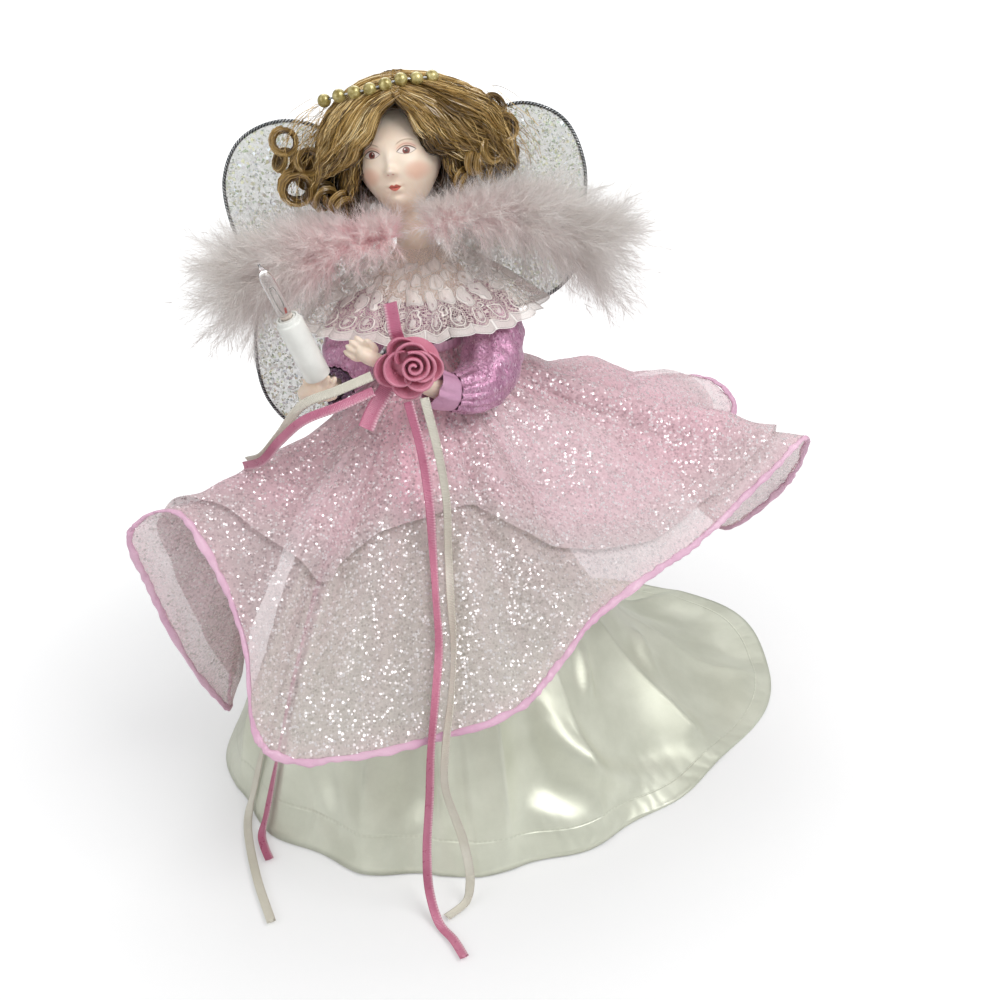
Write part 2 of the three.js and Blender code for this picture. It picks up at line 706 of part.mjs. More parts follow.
/** Fluffy collar: a soft roll round the neck with a large tuft over each shoulder. */
function boa() {
  const loop = new THREE.EllipseCurve(0, 0, BOA_RING.x, BOA_RING.y).getPoints(20).slice(1);
  const roll = wireLoop(
    loop.map((p) => new THREE.Vector3(p.x, p.y - BOA_LEAD, BOA_HEIGHT - p.y * BOA_DIP)),
    new THREE.Vector3(0, 0, 1), BOA_RADIUS, 6,
  );
  const tufts = [-1, 1].flatMap((side) =>
    BOA_TUFTS.map(([x, y, z, ...radii]) => solid(ball([side * x, y, z], vec(radii), 10, 6))));
  const fluff = join(solid(roll), ...tufts);
  return geometryOf(largest(cut(fluff, solid(loft(laceRings(GAP))), bustSolid(GAP))));
}

// Arms

function sleeve(curve, side, cuffAt) {
  const start = sleeveStart(curve, side);
  const puff = (t) => {
    const swell = Math.sin(Math.PI * Math.min(1, t * PUFF_LEAD)) ** PUFF_CURVE;
    return SLEEVE_MOUTH + (SLEEVE_PUFF - SLEEVE_MOUTH) * swell;
  };
  const outer = tubeRings(curve, start, cuffAt, 7, puff, 14);
  const inner = tubeRings(curve, start, cuffAt, 7, (t) => puff(t) - SLEEVE_CLOTH, 14);
  const puffed = solid(loft([...outer, ...inner.reverse()], true));
  const body = solid(torsoSleeve(GAP + BODICE_CLOTH + GAP).translate(0, 0, -SHOULDER_HEIGHT));
  return geometryOf(largest(cut(puffed, body, bustSolid(GAP))));
}

function cuff(curve, cuffAt) {
  const gap = GAP / curve.getLength();
  const flare = (t) => SLEEVE_MOUTH - CUFF_INSET + (CUFF_FLARE - SLEEVE_MOUTH) * t;
  const outer = tubeRings(curve, cuffAt + gap, cuffAt + CUFF_LENGTH, 2, flare, 16);
  const inner = tubeRings(curve, cuffAt + gap, cuffAt + CUFF_LENGTH, 2, (t) => flare(t) - SLEEVE_CLOTH, 16);
  return loft([...outer, ...inner.reverse()], true);
}

/** Porcelain forearm with a half-closed hand whose fingers point along a direction. */
function forearm(curve, elbow, pointing, spread) {
  const limb = tubeRings(curve, elbow, 1, 5, (t) => ELBOW_RADIUS + (WRIST_RADIUS - ELBOW_RADIUS) * t, 10);
  const turn = new THREE.Quaternion().setFromUnitVectors(new THREE.Vector3(0, 0, 1), pointing);
  const wrist = curve.getPointAt(1);
  const set = (g) => solid(g.applyQuaternion(turn).translate(...wrist));
  const palm = set(ball([0, 0, PALM_RADII.z * PALM_REACH], PALM_RADII, 9, 6));
  const fingers = FINGER_PLACES.map((k) => {
    const reach = PALM_RADII.z * FINGER_REACH - Math.abs(k);
    return set(ball([k * FINGER_RADII.x * FINGER_PITCH, spread, reach], FINGER_RADII, 5, 4));
  });
  const thumb = set(ball([PALM_RADII.x * THUMB_OUT, -spread, PALM_RADII.z], FINGER_RADII, 5, 4));
  return join(solid(loft(limb)), palm, ...fingers, thumb);
}

function candleTurn() {
  return new THREE.Quaternion().setFromUnitVectors(new THREE.Vector3(0, 0, 1), CANDLE_LEAN);
}

function leftForearm() {
  return geometryOf(forearm(leftArm, LEFT_ELBOW_AT, LEFT_POINTING, LEFT_SPREAD));
}

function rightForearm() {
  const seat = lathe([
    [0, -GAP],
    [CANDLE_RADIUS + GAP, -GAP],
    [CANDLE_RADIUS + GAP, CANDLE_LENGTH],
    [0, CANDLE_LENGTH],
  ]).applyQuaternion(candleTurn()).translate(...CANDLE_FOOT);
  const hand = forearm(rightArm, RIGHT_ELBOW_AT, RIGHT_POINTING, RIGHT_SPREAD);
  return geometryOf(largest(cut(hand, solid(seat))));
}

// Candle, in its own frame with its foot at the origin

const candleTop = CANDLE_LENGTH + CANDLE_RIM_HEIGHT;
const socketRadius = CANDLE_BORE - GAP;
const bulbStem = socketRadius - SOCKET_WALL - GAP;
const socketFloor = candleTop - SOCKET_DEPTH - GAP;

const candleTube = () =>
  lathe([
    [0, 0],
    [CANDLE_RADIUS, 0],
    [CANDLE_RADIUS, CANDLE_LENGTH - CANDLE_CHAMFER],
    [CANDLE_RADIUS - CANDLE_CHAMFER, CANDLE_LENGTH],
    [CANDLE_RIM_RADIUS, CANDLE_LENGTH],
    [CANDLE_RIM_RADIUS, candleTop],
    [CANDLE_BORE, candleTop],
    [CANDLE_BORE, CANDLE_FLOOR],
    [0, CANDLE_FLOOR],
  ]);

const lampSocket = () =>
  lathe([
    [0, CANDLE_FLOOR + GAP],
    [socketRadius, CANDLE_FLOOR + GAP],
    [socketRadius, candleTop],
    [socketRadius - SOCKET_WALL, candleTop],
    [socketRadius - SOCKET_WALL, socketFloor],
    [0, socketFloor],
  ], COARSE);

const bulbBase = () =>
  lathe([
    [0, socketFloor + GAP],
    [bulbStem, socketFloor + GAP],
    [bulbStem, candleTop + GAP],
    [BULB_RADIUS, candleTop + GAP],
    [BULB_RADIUS, candleTop + GAP + BULB_COLLAR_HEIGHT],
    [0, candleTop + GAP + BULB_COLLAR_HEIGHT],
  ], COARSE);

const glassFoot = candleTop + GAP + BULB_COLLAR_HEIGHT + GAP;

const bulbGlass = () =>
  lathe([
    [0, glassFoot + BULB_BARREL + BULB_TIP],
    [BULB_RADIUS * BULB_POINT[0], glassFoot + BULB_BARREL + BULB_TIP * BULB_POINT[1]],
    [BULB_RADIUS * BULB_SHOULDER[0], glassFoot + BULB_BARREL + BULB_TIP * BULB_SHOULDER[1]],
    [BULB_RADIUS, glassFoot + BULB_BARREL],
    [BULB_RADIUS, glassFoot],
    [BULB_RADIUS - BULB_GLASS, glassFoot],
    [BULB_RADIUS - BULB_GLASS, glassFoot + BULB_BARREL],
    [0, glassFoot + BULB_BARREL + BULB_TIP * BULB_ROOF],
  ], COARSE);

function bulbLeads() {
  const bend = new THREE.CatmullRomCurve3([
    [-LEAD_SPREAD, 0, 0],
    [-LEAD_SPREAD, 0, LEAD_LENGTH * LEAD_SHOULDER],
    [-LEAD_SPREAD * LEAD_BRIDGE, 0, LEAD_LENGTH],
    [LEAD_SPREAD * LEAD_BRIDGE, 0, LEAD_LENGTH],
    [LEAD_SPREAD, 0, LEAD_LENGTH * LEAD_SHOULDER],
    [LEAD_SPREAD, 0, 0],
  ].map(vec));
  const rings = tubeRings(bend, 0, 1, 20, () => LEAD_RADIUS, 5);
  return loft(rings).translate(0, 0, glassFoot);
}

// Wings, in the frame of the shoulders

/** Outline of one wing: the straight root, then the lobes. */
function wingOutline(lobes) {
  const side = Math.sign(lobes[0][0]);
  const flat = ([x, z]) => new THREE.Vector3(x, WING_SETBACK, z);
  const top = flat([side * WING_ROOT, WING_ROOT_TOP]);
  const foot = flat([side * WING_ROOT, WING_ROOT_FOOT]);
  const edge = new THREE.CatmullRomCurve3([top, ...lobes.map(flat), foot]).getPoints(34);
  const root = [0.25, 0.5, 0.75].map((t) => foot.clone().lerp(top, t));
  return [...edge, ...root];
}

const wingFrame = (lobes) =>
  wireLoop(wingOutline(lobes), new THREE.Vector3(0, 1, 0), WING_WIRE_RADIUS, 5);

/** Film inside the wire loop, kept clear of the casing. */
function wingFilm(lobes) {
  const outline = wingOutline(lobes);
  const side = Math.sign(lobes[0][0]);
  const clear = WING_WIRE_RADIUS + GAP;
  const inner = CASING_HALF_WIDTH + CASING_BACK;
  const corners = outline.map((p, i) => {
    const before = outline[(i + outline.length - 1) % outline.length];
    const after = outline[(i + 1) % outline.length];
    const ahead = after.clone().sub(before).normalize();
    const x = p.x + ahead.z * clear * side;
    return new THREE.Vector2(side * Math.max(side * x, inner), p.z - ahead.x * clear * side);
  });
  const kept = corners.filter((p, i) => i === 0 || p.distanceTo(corners[i - 1]) > 0.6);
  const plate = new THREE.ExtrudeGeometry(new THREE.Shape(kept), { depth: WING_FILM, bevelEnabled: false });
  return tidy(plate.rotateX(Math.PI / 2).translate(0, WING_SETBACK + WING_FILM / 2, 0));
}

function wingCasing() {
  const front = CHEST_HALF_DEPTH + GAP + BODICE_CLOTH + GAP;
  const back = WING_SETBACK + CASING_BACK;
  const middle = -PLATE_DROP - GAP - CASING_HEIGHT / 2;
  const block = new THREE.BoxGeometry(2 * CASING_HALF_WIDTH, back - front, CASING_HEIGHT);
  block.translate(0, (front + back) / 2, middle);
  const radius = WING_WIRE_RADIUS + GAP;
  const bores = [-1, 1].map((side) => {
    const bore = new THREE.CylinderGeometry(radius, radius, CASING_HEIGHT + 2, COARSE);
    return solid(bore.rotateX(Math.PI / 2).translate(side * WING_ROOT, WING_SETBACK, middle));
  });
  return geometryOf(cut(solid(block), ...bores));
}

// Skirts

const toward = (degrees) => {
  const a = THREE.MathUtils.degToRad(degrees);
  return new THREE.Vector3(Math.sin(a), -Math.cos(a), 0);
};
const skirtTop = CONE_HEIGHT + SKIRT_TOP;
const satinRadius = WAIST_RADIUS + GAP + BODICE_CLOTH + GAP + SATIN / 2;
const lowerRadius = satinRadius + SATIN / 2 + LAYER_GAP + ORGANZA / 2;
const upperRadius = lowerRadius + ORGANZA + LAYER_GAP;

/** Middle surface of the satin underskirt: a bell in front that runs out into a flat train. */
function satinPoint(degrees, s) {
  const off = ((degrees - TRAIN_ANGLE + 540) % 360) - 180;
  const train = Math.exp(-((off / TRAIN_SPREAD) ** 2));
  const a = THREE.MathUtils.degToRad(degrees);
  const fold = Math.cos(SATIN_FOLDS * a + FOLD_DRIFT * Math.sin(2 * a));
  const flare = s * s * SATIN_FOLD_DEPTH * fold;
  const reach = SATIN_REACH + SATIN_TRAIN * train + flare;
  const front = ((degrees - BELL_ANGLE + 540) % 360) - 180;
  const bell = BELL_FULLNESS * Math.exp(-((front / BELL_SPREAD) ** 2));
  const from = skirtTop - SKIRT_FALL;
  const sweep = SKIRT_SWEEP + (TRAIN_SWEEP - SKIRT_SWEEP) * train;
  const z = from * (bell * (1 - s ** BELL_SWEEP) + (1 - bell) * (1 - s) ** sweep);
  const crease = train * TRAIN_CREASE * Math.max(0, fold) * Math.sin(Math.PI * s) * s;
  return toward(degrees)
    .multiplyScalar(satinRadius + (reach - satinRadius) * s)
    .setZ(z + crease + SATIN / 2);
}

const hemLine = new THREE.CatmullRomCurve3(LOWER_HEM.map(([, x, y, z]) => new THREE.Vector3(x, y, z)), true);
const swellLine = new THREE.CatmullRomCurve3(
  LOWER_HEM.map(([angle, , , , swell], i) => new THREE.Vector3(angle, swell, i)),
);

/** Waist angle and swell of the organza at a share of the way round its hem. */
function organzaAt(u) {
  const last = LOWER_HEM.length - 1;
  const at = u * LOWER_HEM.length;
  if (at <= last) {
    const p = swellLine.getPoint(at / last);
    return [p.x, p.y];
  }
  const t = at - last;
  return [LOWER_HEM[last][0] * (1 - t) + 360 * t, LOWER_HEM[last][4] * (1 - t) + LOWER_HEM[0][4] * t];
}

/** Point of the organza's middle surface, s from the waist to the hem. */
function organzaPoint(u, s) {
  const [angle, swell] = organzaAt(u);
  const top = toward(angle).multiplyScalar(lowerRadius).setZ(skirtTop - SKIRT_FALL);
  const hem = hemLine.getPoint(u);
  const along = hem.clone().sub(top);
  const run = Math.hypot(along.x, along.y);
  const flat = new THREE.Vector3(along.x, along.y, 0).divideScalar(run);
  const normal = flat.multiplyScalar(-along.z).setZ(run).normalize();
  return top.addScaledVector(along, s).addScaledVector(normal, swell * 4 * s * (1 - s));
}

/** Point at a distance outside that surface. */
function overOrganza(u, s, out) {
  const step = 0.004;
  const at = organzaPoint(u, s);
  const round = organzaPoint((u + step) % 1, s).sub(organzaPoint((u + 1 - step) % 1, s));
  const down = organzaPoint(u, s + 0.01).sub(organzaPoint(u, s - 0.01));
  return at.addScaledVector(new THREE.Vector3().crossVectors(down, round).normalize(), out);
}

const COLUMNS = LOWER_HEM.length * 2;
const around = (count, make) => Array.from({ length: count }, (_, j) => make(j / count));

function underskirt() {
  const columns = 52;
  const shares = [0, 0.17, 0.34, 0.5, 0.67, 0.84, 1];
  const rows = shares.map((s) => around(columns, (u) => satinPoint(360 * u, s)));
  const top = around(columns, (u) => toward(360 * u).multiplyScalar(satinRadius).setZ(skirtTop));
  return clothShell([top, ...rows], SATIN);
}

/** Cloth of a thickness on rows of points that run round the waist. */
function clothShell(rows, cloth) {
  const moved = (by) =>
    rows.map((row, i) =>
      row.map((p, j) => {
        const round = row[(j + 1) % row.length].clone().sub(row[(j + row.length - 1) % row.length]);
        const down = rows[Math.min(i + 1, rows.length - 1)][j].clone().sub(rows[Math.max(i - 1, 0)][j]);
        return p.clone().addScaledVector(new THREE.Vector3().crossVectors(down, round).normalize(), by);
      }));
  const [outer, inner] = [moved(cloth / 2), moved(-cloth / 2)];
  return loft([...outer, ...inner.reverse()], true);
}

function lowerTier(cloth, hem = 1) {
  const rows = [0, 0.31, 0.62, hem].map((s) => around(COLUMNS, (u) => organzaPoint(u, s)));
  const top = around(COLUMNS, (u) => toward(organzaAt(u)[0]).multiplyScalar(lowerRadius).setZ(skirtTop));
  return clothShell([top, ...rows], cloth);
}

/** How far down the long layer the short one reaches, at a share of the way round. */
function upperReach(u) {
  const angle = Math.abs(((organzaAt(u)[0] + 180) % 360) - 180);
  const share = THREE.MathUtils.smoothstep(angle, UPPER_TURN.x, UPPER_TURN.y);
  return UPPER_FRONT + (UPPER_SIDE - UPPER_FRONT) * share;
}

const tierOffset = (s) => ORGANZA + GAP + TIER_SPACE * Math.min(1, 4 * s);

function upperTier(cloth) {
  const rows = [0, 1 / 3, 2 / 3, 1].map((t) =>
    around(COLUMNS, (u) => overOrganza(u, t * upperReach(u), tierOffset(t))));
  const top = around(COLUMNS, (u) => toward(organzaAt(u)[0]).multiplyScalar(upperRadius).setZ(skirtTop));
  rows[0] = around(COLUMNS, (u) =>
    toward(organzaAt(u)[0]).multiplyScalar(upperRadius).setZ(skirtTop - SKIRT_FALL + ORGANZA + GAP));
  return clothShell([top, ...rows], cloth);
}

/** Wired, rolled hem just past the edge of the long layer. */
function rolledHem() {
  const ring = around(COLUMNS, (u) => {
    const edge = organzaPoint(u, 1);
    const down = edge.clone().sub(organzaPoint(u, 0.98)).normalize();
    return edge.addScaledVector(down, HEM_ROLL + LAYER_GAP);
  });
  const roll = solid(wireLoop(ring, new THREE.Vector3(0.02, 0.03, 1), HEM_ROLL, 4));
  const clear = ORGANZA + 3 * GAP;
  return geometryOf(largest(cut(roll, solid(lowerTier(clear, 1 + GAP / 100)), solid(upperTier(clear)))));
}

function waistband() {
  const inner = upperRadius + ORGANZA / 2 + GAP;
  const foot = skirtTop - BAND_HEIGHT / 2 + GAP;
  return lathe([
    [inner, foot],
    [inner + BAND_CLOTH, foot],
    [inner + BAND_CLOTH, foot + BAND_HEIGHT],
    [inner, foot + BAND_HEIGHT],
    [inner, foot],
  ], FINE);
}

// Rose and bow

/** Least distance between points of rings that lie at least so many rings apart. */
function leastGap(rings, apart) {
  let least = Infinity;
  for (let i = 0; i < rings.length; i++) {
    for (const later of rings.slice(i + apart).flat()) {
      for (const point of rings[i]) least = Math.min(least, point.distanceTo(later));
    }
  }
  return least;
}

/** Ribbon wound into a rose: one spiral wall whose upper edge leans out, opening towards -Y. */
function rose() {
  const steps = Math.round(ROSE_TURNS * ROSE_STEPS);
  const radiusAt = (i) => ROSE_CORE + (ROSE_PITCH * i) / ROSE_STEPS;
  const spot = (i, r, y) => {
    const a = (2 * Math.PI * i) / ROSE_STEPS;
    return new THREE.Vector3(r * Math.cos(a), y, r * Math.sin(a));
  };
  const rings = Array.from({ length: steps + 1 }, (_, i) => {
    const r = radiusAt(i);
    const lean = ROSE_FLARE * r;
    const rise = -ROSE_DEPTH + ROSE_FLARE * r;
    return [
      spot(i, r, 0),
      spot(i, r + lean, rise),
      spot(i, r + lean + ROSE_CLOTH, rise),
      spot(i, r + ROSE_CLOTH, 0),
    ];
  });
  console.log(`ribbon_rose: least gap to itself ${leastGap(rings, ROSE_STEPS / 2).toFixed(2)} mm`);
  return loft(rings);
}

const roseRadius = ROSE_CORE + ROSE_PITCH * ROSE_TURNS + ROSE_CLOTH;

function bow(points) {
  return ribbon(points.map(vec), BOW_WIDTH, RIBBON_THICKNESS, new THREE.Vector3(0, -1, 0.25), 10);
}

const FRONTWARD = new THREE.Vector3(-0.12, -1, 0.45);
const RIGHTWARD = new THREE.Vector3(-0.88, -0.42, 0.55);
const tail = (points, face, steps) => ribbon(points.map(vec), RIBBON_WIDTH, RIBBON_THICKNESS, face, steps);

function treeCone() {
  const slope = (CONE_MOUTH_RADIUS - CONE_TOP_RADIUS) / CONE_HEIGHT;
  const innerTop = CONE_TOP_RADIUS - CONE_WALL + slope * CONE_WALL;
  return lathe([
    [0, CONE_HEIGHT - CONE_WALL],
    [innerTop, CONE_HEIGHT - CONE_WALL],
    [CONE_MOUTH_RADIUS - CONE_WALL, 0],
    [CONE_MOUTH_RADIUS, 0],
    [CONE_TOP_RADIUS, CONE_HEIGHT],
    [0, CONE_HEIGHT],
  ], FINE);
}

// Finishes
const CARD = { color: 0xd9d2c4, roughness: 0.9 };
const STUFFING = { color: 0xe8e2d8, roughness: 1 };
const PORCELAIN = { color: 0xf4e4da, roughness: 0.45 };
const HAIR = { color: 0xb98a4a, roughness: 0.55 };
const GOLD_PEARL = { color: 0xd8b45a, roughness: 0.3, metalness: 0.4 };
const LACE = { color: 0xf8f2ee, roughness: 0.9 };
const FEATHER = { color: 0xeec9d4, roughness: 1 };
const LAME = { color: 0xc07ab4, roughness: 0.35, metalness: 0.3 };
const PINK_CLOTH = { color: 0xe9a9cf, roughness: 0.5 };
const SHEER_PINK = { color: 0xefc3df, roughness: 0.45, transparent: true, opacity: 0.6 };
const IVORY_SATIN = { color: 0xeeeede, roughness: 0.3 };
const PINK_SATIN = { color: 0xd878a2, roughness: 0.35 };
const STEEL = { color: 0x9a9a9e, roughness: 0.4, metalness: 0.9 };
const DARK_WIRE = { color: 0x77787f, roughness: 0.45, metalness: 0.7 };
const FILM = { color: 0xdfe6ea, roughness: 0.3, transparent: true, opacity: 0.8 };
const WHITE_PLASTIC = { color: 0xf5f5f2, roughness: 0.4 };
const CLEAR_GLASS = { color: 0xffffff, roughness: 0.05, transparent: true, opacity: 0.35 };
const RED_BEAD = { color: 0xc86a5e, roughness: 0.4 };

function piece(group, name, geometry, finish) {
  const mesh = new THREE.Mesh(geometry, new THREE.MeshStandardMaterial(finish));
  mesh.name = name;
  group.add(mesh);
  return mesh;
}

const topper = new THREE.Group();

piece(topper, "tree_cone", treeCone(), CARD);
piece(topper, "underskirt", underskirt(), IVORY_SATIN);
piece(topper, "overskirt_lower_tier", lowerTier(ORGANZA), SHEER_PINK);
piece(topper, "overskirt_upper_tier", upperTier(ORGANZA), SHEER_PINK);
piece(topper, "lower_tier_hem", rolledHem(), PINK_CLOTH);
piece(topper, "waistband", waistband(), PINK_CLOTH);

const figure = new THREE.Group();
figure.position.z = CONE_HEIGHT;
topper.add(figure);
piece(figure, "torso_form", torso(), STUFFING);
piece(figure, "bodice", bodice(), PINK_CLOTH);

const shoulders = new THREE.Group();
shoulders.position.z = SHOULDER_HEIGHT;
figure.add(shoulders);
piece(shoulders, "porcelain_bust", bust(), PORCELAIN);
piece(shoulders, "wig_cap", wigCap(), HAIR);
piece(shoulders, "wig_curls_right", wigCurls(-1, CURLS_RIGHT_REACH), HAIR);
piece(shoulders, "wig_curls_left", wigCurls(1, CURLS_LEFT_REACH), HAIR);
piece(shoulders, "bead_strand", beadStrand(), GOLD_PEARL);
piece(shoulders, "lace_collar", lace(), LACE);
piece(shoulders, "feather_boa", boa(), FEATHER);

const arms = [
  ["left", leftArm, 1, LEFT_ELBOW_AT, leftForearm],
  ["right", rightArm, -1, RIGHT_ELBOW_AT, rightForearm],
];
for (const [name, curve, side, elbow, makeForearm] of arms) {
  const cuffAt = elbow + CUFF_PAST_ELBOW;
  piece(shoulders, `${name}_arm_wire`, armWire(curve, elbow), STEEL);
  piece(shoulders, `${name}_sleeve`, sleeve(curve, side, cuffAt), LAME);
  piece(shoulders, `${name}_cuff`, cuff(curve, cuffAt), LAME);
  piece(shoulders, `${name}_forearm`, makeForearm(), PORCELAIN);
}

const candle = new THREE.Group();
candle.position.copy(CANDLE_FOOT);
candle.quaternion.copy(candleTurn());
shoulders.add(candle);
piece(candle, "candle_tube", candleTube(), WHITE_PLASTIC);
piece(candle, "lamp_socket", lampSocket(), WHITE_PLASTIC);
piece(candle, "bulb_base", bulbBase(), RED_BEAD);
piece(candle, "bulb_glass", bulbGlass(), CLEAR_GLASS);
piece(candle, "bulb_leads", bulbLeads(), STEEL);

piece(shoulders, "wing_casing", wingCasing(), PINK_CLOTH);
piece(shoulders, "right_wing_frame", wingFrame(RIGHT_WING), DARK_WIRE);
piece(shoulders, "right_wing_film", wingFilm(RIGHT_WING), FILM);
piece(shoulders, "left_wing_frame", wingFrame(LEFT_WING), DARK_WIRE);
piece(shoulders, "left_wing_film", wingFilm(LEFT_WING), FILM);

const flower = new THREE.Group();
flower.position.copy(ROSE_CENTRE);
shoulders.add(flower);
piece(flower, "ribbon_rose", rose(), PINK_SATIN);
piece(flower, "bow_loop", bow([
  [-2, -3, roseRadius * BOW_LOOP_AT + 1],
  [-3, -1, roseRadius * BOW_LOOP_AT + 6],
  [-3.5, 3, roseRadius * BOW_LOOP_AT + 11],
]), PINK_SATIN);
piece(flower, "bow_stub", bow([
  [-roseRadius * BOW_STUB_AT, -2, -roseRadius * BOW_STUB_AT],
  [-roseRadius - 3, -4.5, -roseRadius - 4],
  [-roseRadius - 6, -8, -roseRadius - 10],
]), PINK_SATIN);

piece(topper, "front_ribbon_pink", tail(FRONT_PINK, FRONTWARD, 19), PINK_SATIN);
piece(topper, "front_ribbon_ivory", tail(FRONT_IVORY, FRONTWARD, 19), IVORY_SATIN);
piece(topper, "hand_ribbon_pink", tail(HAND_PINK, FRONTWARD, 9), PINK_SATIN);
piece(topper, "hand_ribbon_ivory", tail(HAND_IVORY, FRONTWARD, 9), IVORY_SATIN);
piece(topper, "tail_ribbon_pink", tail(TAIL_PINK, RIGHTWARD, 14), PINK_SATIN);
piece(topper, "tail_ribbon_ivory", tail(TAIL_IVORY, RIGHTWARD, 16), IVORY_SATIN);

export default topper;
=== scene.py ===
"""Looks of an angel tree topper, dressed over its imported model.

Sizes are in millimetres in the frame of the part, Z up and the figure facing -Y. They become metres
when a mesh is made. Left and right are the figure's own.
"""

import logging
import math
from dataclasses import dataclass, field
from enum import Enum
from typing import Any, Sequence

import bpy
import numpy as np
from mathutils import Matrix, Vector


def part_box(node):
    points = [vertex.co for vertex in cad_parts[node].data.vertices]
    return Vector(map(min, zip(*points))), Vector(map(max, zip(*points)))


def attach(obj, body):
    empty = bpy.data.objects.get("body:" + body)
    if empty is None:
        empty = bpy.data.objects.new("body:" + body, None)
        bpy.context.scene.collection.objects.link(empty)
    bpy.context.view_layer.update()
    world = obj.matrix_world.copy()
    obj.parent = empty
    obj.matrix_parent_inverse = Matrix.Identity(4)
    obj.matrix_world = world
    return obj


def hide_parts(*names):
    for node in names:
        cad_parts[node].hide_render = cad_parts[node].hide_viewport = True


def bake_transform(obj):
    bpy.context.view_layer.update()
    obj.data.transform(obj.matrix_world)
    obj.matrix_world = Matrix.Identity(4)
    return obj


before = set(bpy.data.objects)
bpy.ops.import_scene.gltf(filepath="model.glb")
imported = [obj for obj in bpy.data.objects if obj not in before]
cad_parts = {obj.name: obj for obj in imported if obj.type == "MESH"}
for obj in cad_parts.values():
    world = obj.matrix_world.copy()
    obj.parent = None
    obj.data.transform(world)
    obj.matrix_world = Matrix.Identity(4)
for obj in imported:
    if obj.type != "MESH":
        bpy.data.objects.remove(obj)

LOG = logging.getLogger("topper")
MM = 0.001
SEED = 11
Array = np.ndarray
Point = tuple[float, float, float]
Colour = tuple[float, float, float]
CLOTH_THICKNESS = 0.3


def tint(red: int, green: int, blue: int) -> Colour:
    """Turn a screen colour into the linear colour that a shader takes.

    Args:
        red: Red, 0 to 255.
        green: Green, 0 to 255.
        blue: Blue, 0 to 255.

    Returns:
        The linear colour.
    """
    shares = (value / 255 for value in (red, green, blue))
    return tuple(s / 12.92 if s <= 0.04045 else ((s + 0.055) / 1.055) ** 2.4 for s in shares)


def ease(value: Array, low: float, high: float) -> Array:
    """Rise smoothly from 0 at low to 1 at high.

    Args:
        value: Where to look.
        low: Start of the rise.
        high: End of the rise.

    Returns:
        Shares from 0 to 1.
    """
    share = np.clip((np.asarray(value, float) - low) / (high - low), 0, 1)
    return share * share * (3 - 2 * share)


def unit(vectors: Array) -> Array:
    """Scale vectors on the last axis to length 1."""
    return vectors / np.maximum(np.linalg.norm(vectors, axis=-1, keepdims=True), 1e-9)


def circle(sides: int) -> Array:
    """Give equal angles once round, without the first one again at the end."""
    return np.linspace(0, 2 * np.pi, sides, endpoint=False)


def through(points: Sequence[Sequence[float]], shares: Array, closed: bool = False) -> Array:
    """Follow a smooth curve through points.

    Args:
        points: Points that the curve passes.
        shares: Places on the curve, 0 to 1, with each span between points an equal part.
        closed: Whether the curve returns to its first point.

    Returns:
        One row per share.
    """
    knots = np.asarray(points, float)
    count = len(knots)
    spans = count if closed else count - 1
    at = np.clip(np.asarray(shares, float), 0, 1) * spans
    index = np.minimum(at.astype(int), spans - 1)
    rest = (at - index)[:, None]
    if closed:
        before, here, there, after = (knots[(index + k) % count] for k in (-1, 0, 1, 2))
    else:
        longer = np.vstack([2 * knots[0] - knots[1], knots, 2 * knots[-1] - knots[-2]])
        before, here, there, after = (longer[index + k] for k in range(4))
    pairs = ((before, here), (here, there), (there, after))
    d0, d1, d2 = (np.maximum(np.linalg.norm(b - a, axis=1), 1e-9)[:, None] ** 0.5 for a, b in pairs)
    out = d1 * ((here - before) / d0 - (there - before) / (d0 + d1) + (there - here) / d1)
    back = d1 * ((there - here) / d1 - (after - here) / (d1 + d2) + (after - there) / d2)
    bend = -3 * here + 3 * there - 2 * out - back
    return here + rest * out + rest**2 * bend + rest**3 * (2 * here - 2 * there + out + back)


def evenly(line: Array, count: int) -> Array:
    """Set points at equal distances along a line.

    Args:
        line: Dense points of the line.
        count: How many points to set.

    Returns:
        The new points.
    """
    steps = np.linalg.norm(np.diff(line, axis=0), axis=1)
    along = np.concatenate([[0], np.cumsum(steps)])
    wanted = np.linspace(0, along[-1], count)
    return np.stack([np.interp(wanted, along, line[:, k]) for k in range(3)], axis=1)


def tangents(line: Array) -> Array:
    """Give the unit direction of a line, or of many lines, at each point."""
    return unit(np.gradient(line, axis=-2))


def ripple(place: Array, wave: float, seed: int, count: int = 7) -> Array:
    """Give a smooth random value at each place.

    Args:
        place: Places on the last axis.
        wave: Length of the waves.
        seed: Which of the patterns.
        count: How many waves are laid over each other.

    Returns:
        Values mostly between -1 and 1.
    """
    rng = np.random.default_rng(seed)
    ways = unit(rng.normal(size=(count, place.shape[-1]))) * rng.uniform(0.7, 1.5, (count, 1))
    turns = rng.uniform(0, 2 * math.pi, count)
    return np.sin(place @ ways.T * (2 * math.pi / wave) + turns).sum(-1) / math.sqrt(count) * 0.8


def outward(grid: Array, around: bool) -> Array:
    """Give the unit normals of a grid of points.

    Args:
        grid: Rows by columns by three.
        around: Whether the columns close into a ring.

    Returns:
        Normals of the same shape, rows crossed with columns.
    """
    down = np.gradient(grid, axis=0)
    if around:
        across = np.roll(grid, -1, axis=1) - np.roll(grid, 1, axis=1)
    else:
        across = np.gradient(grid, axis=1)
    return unit(np.cross(down, across))


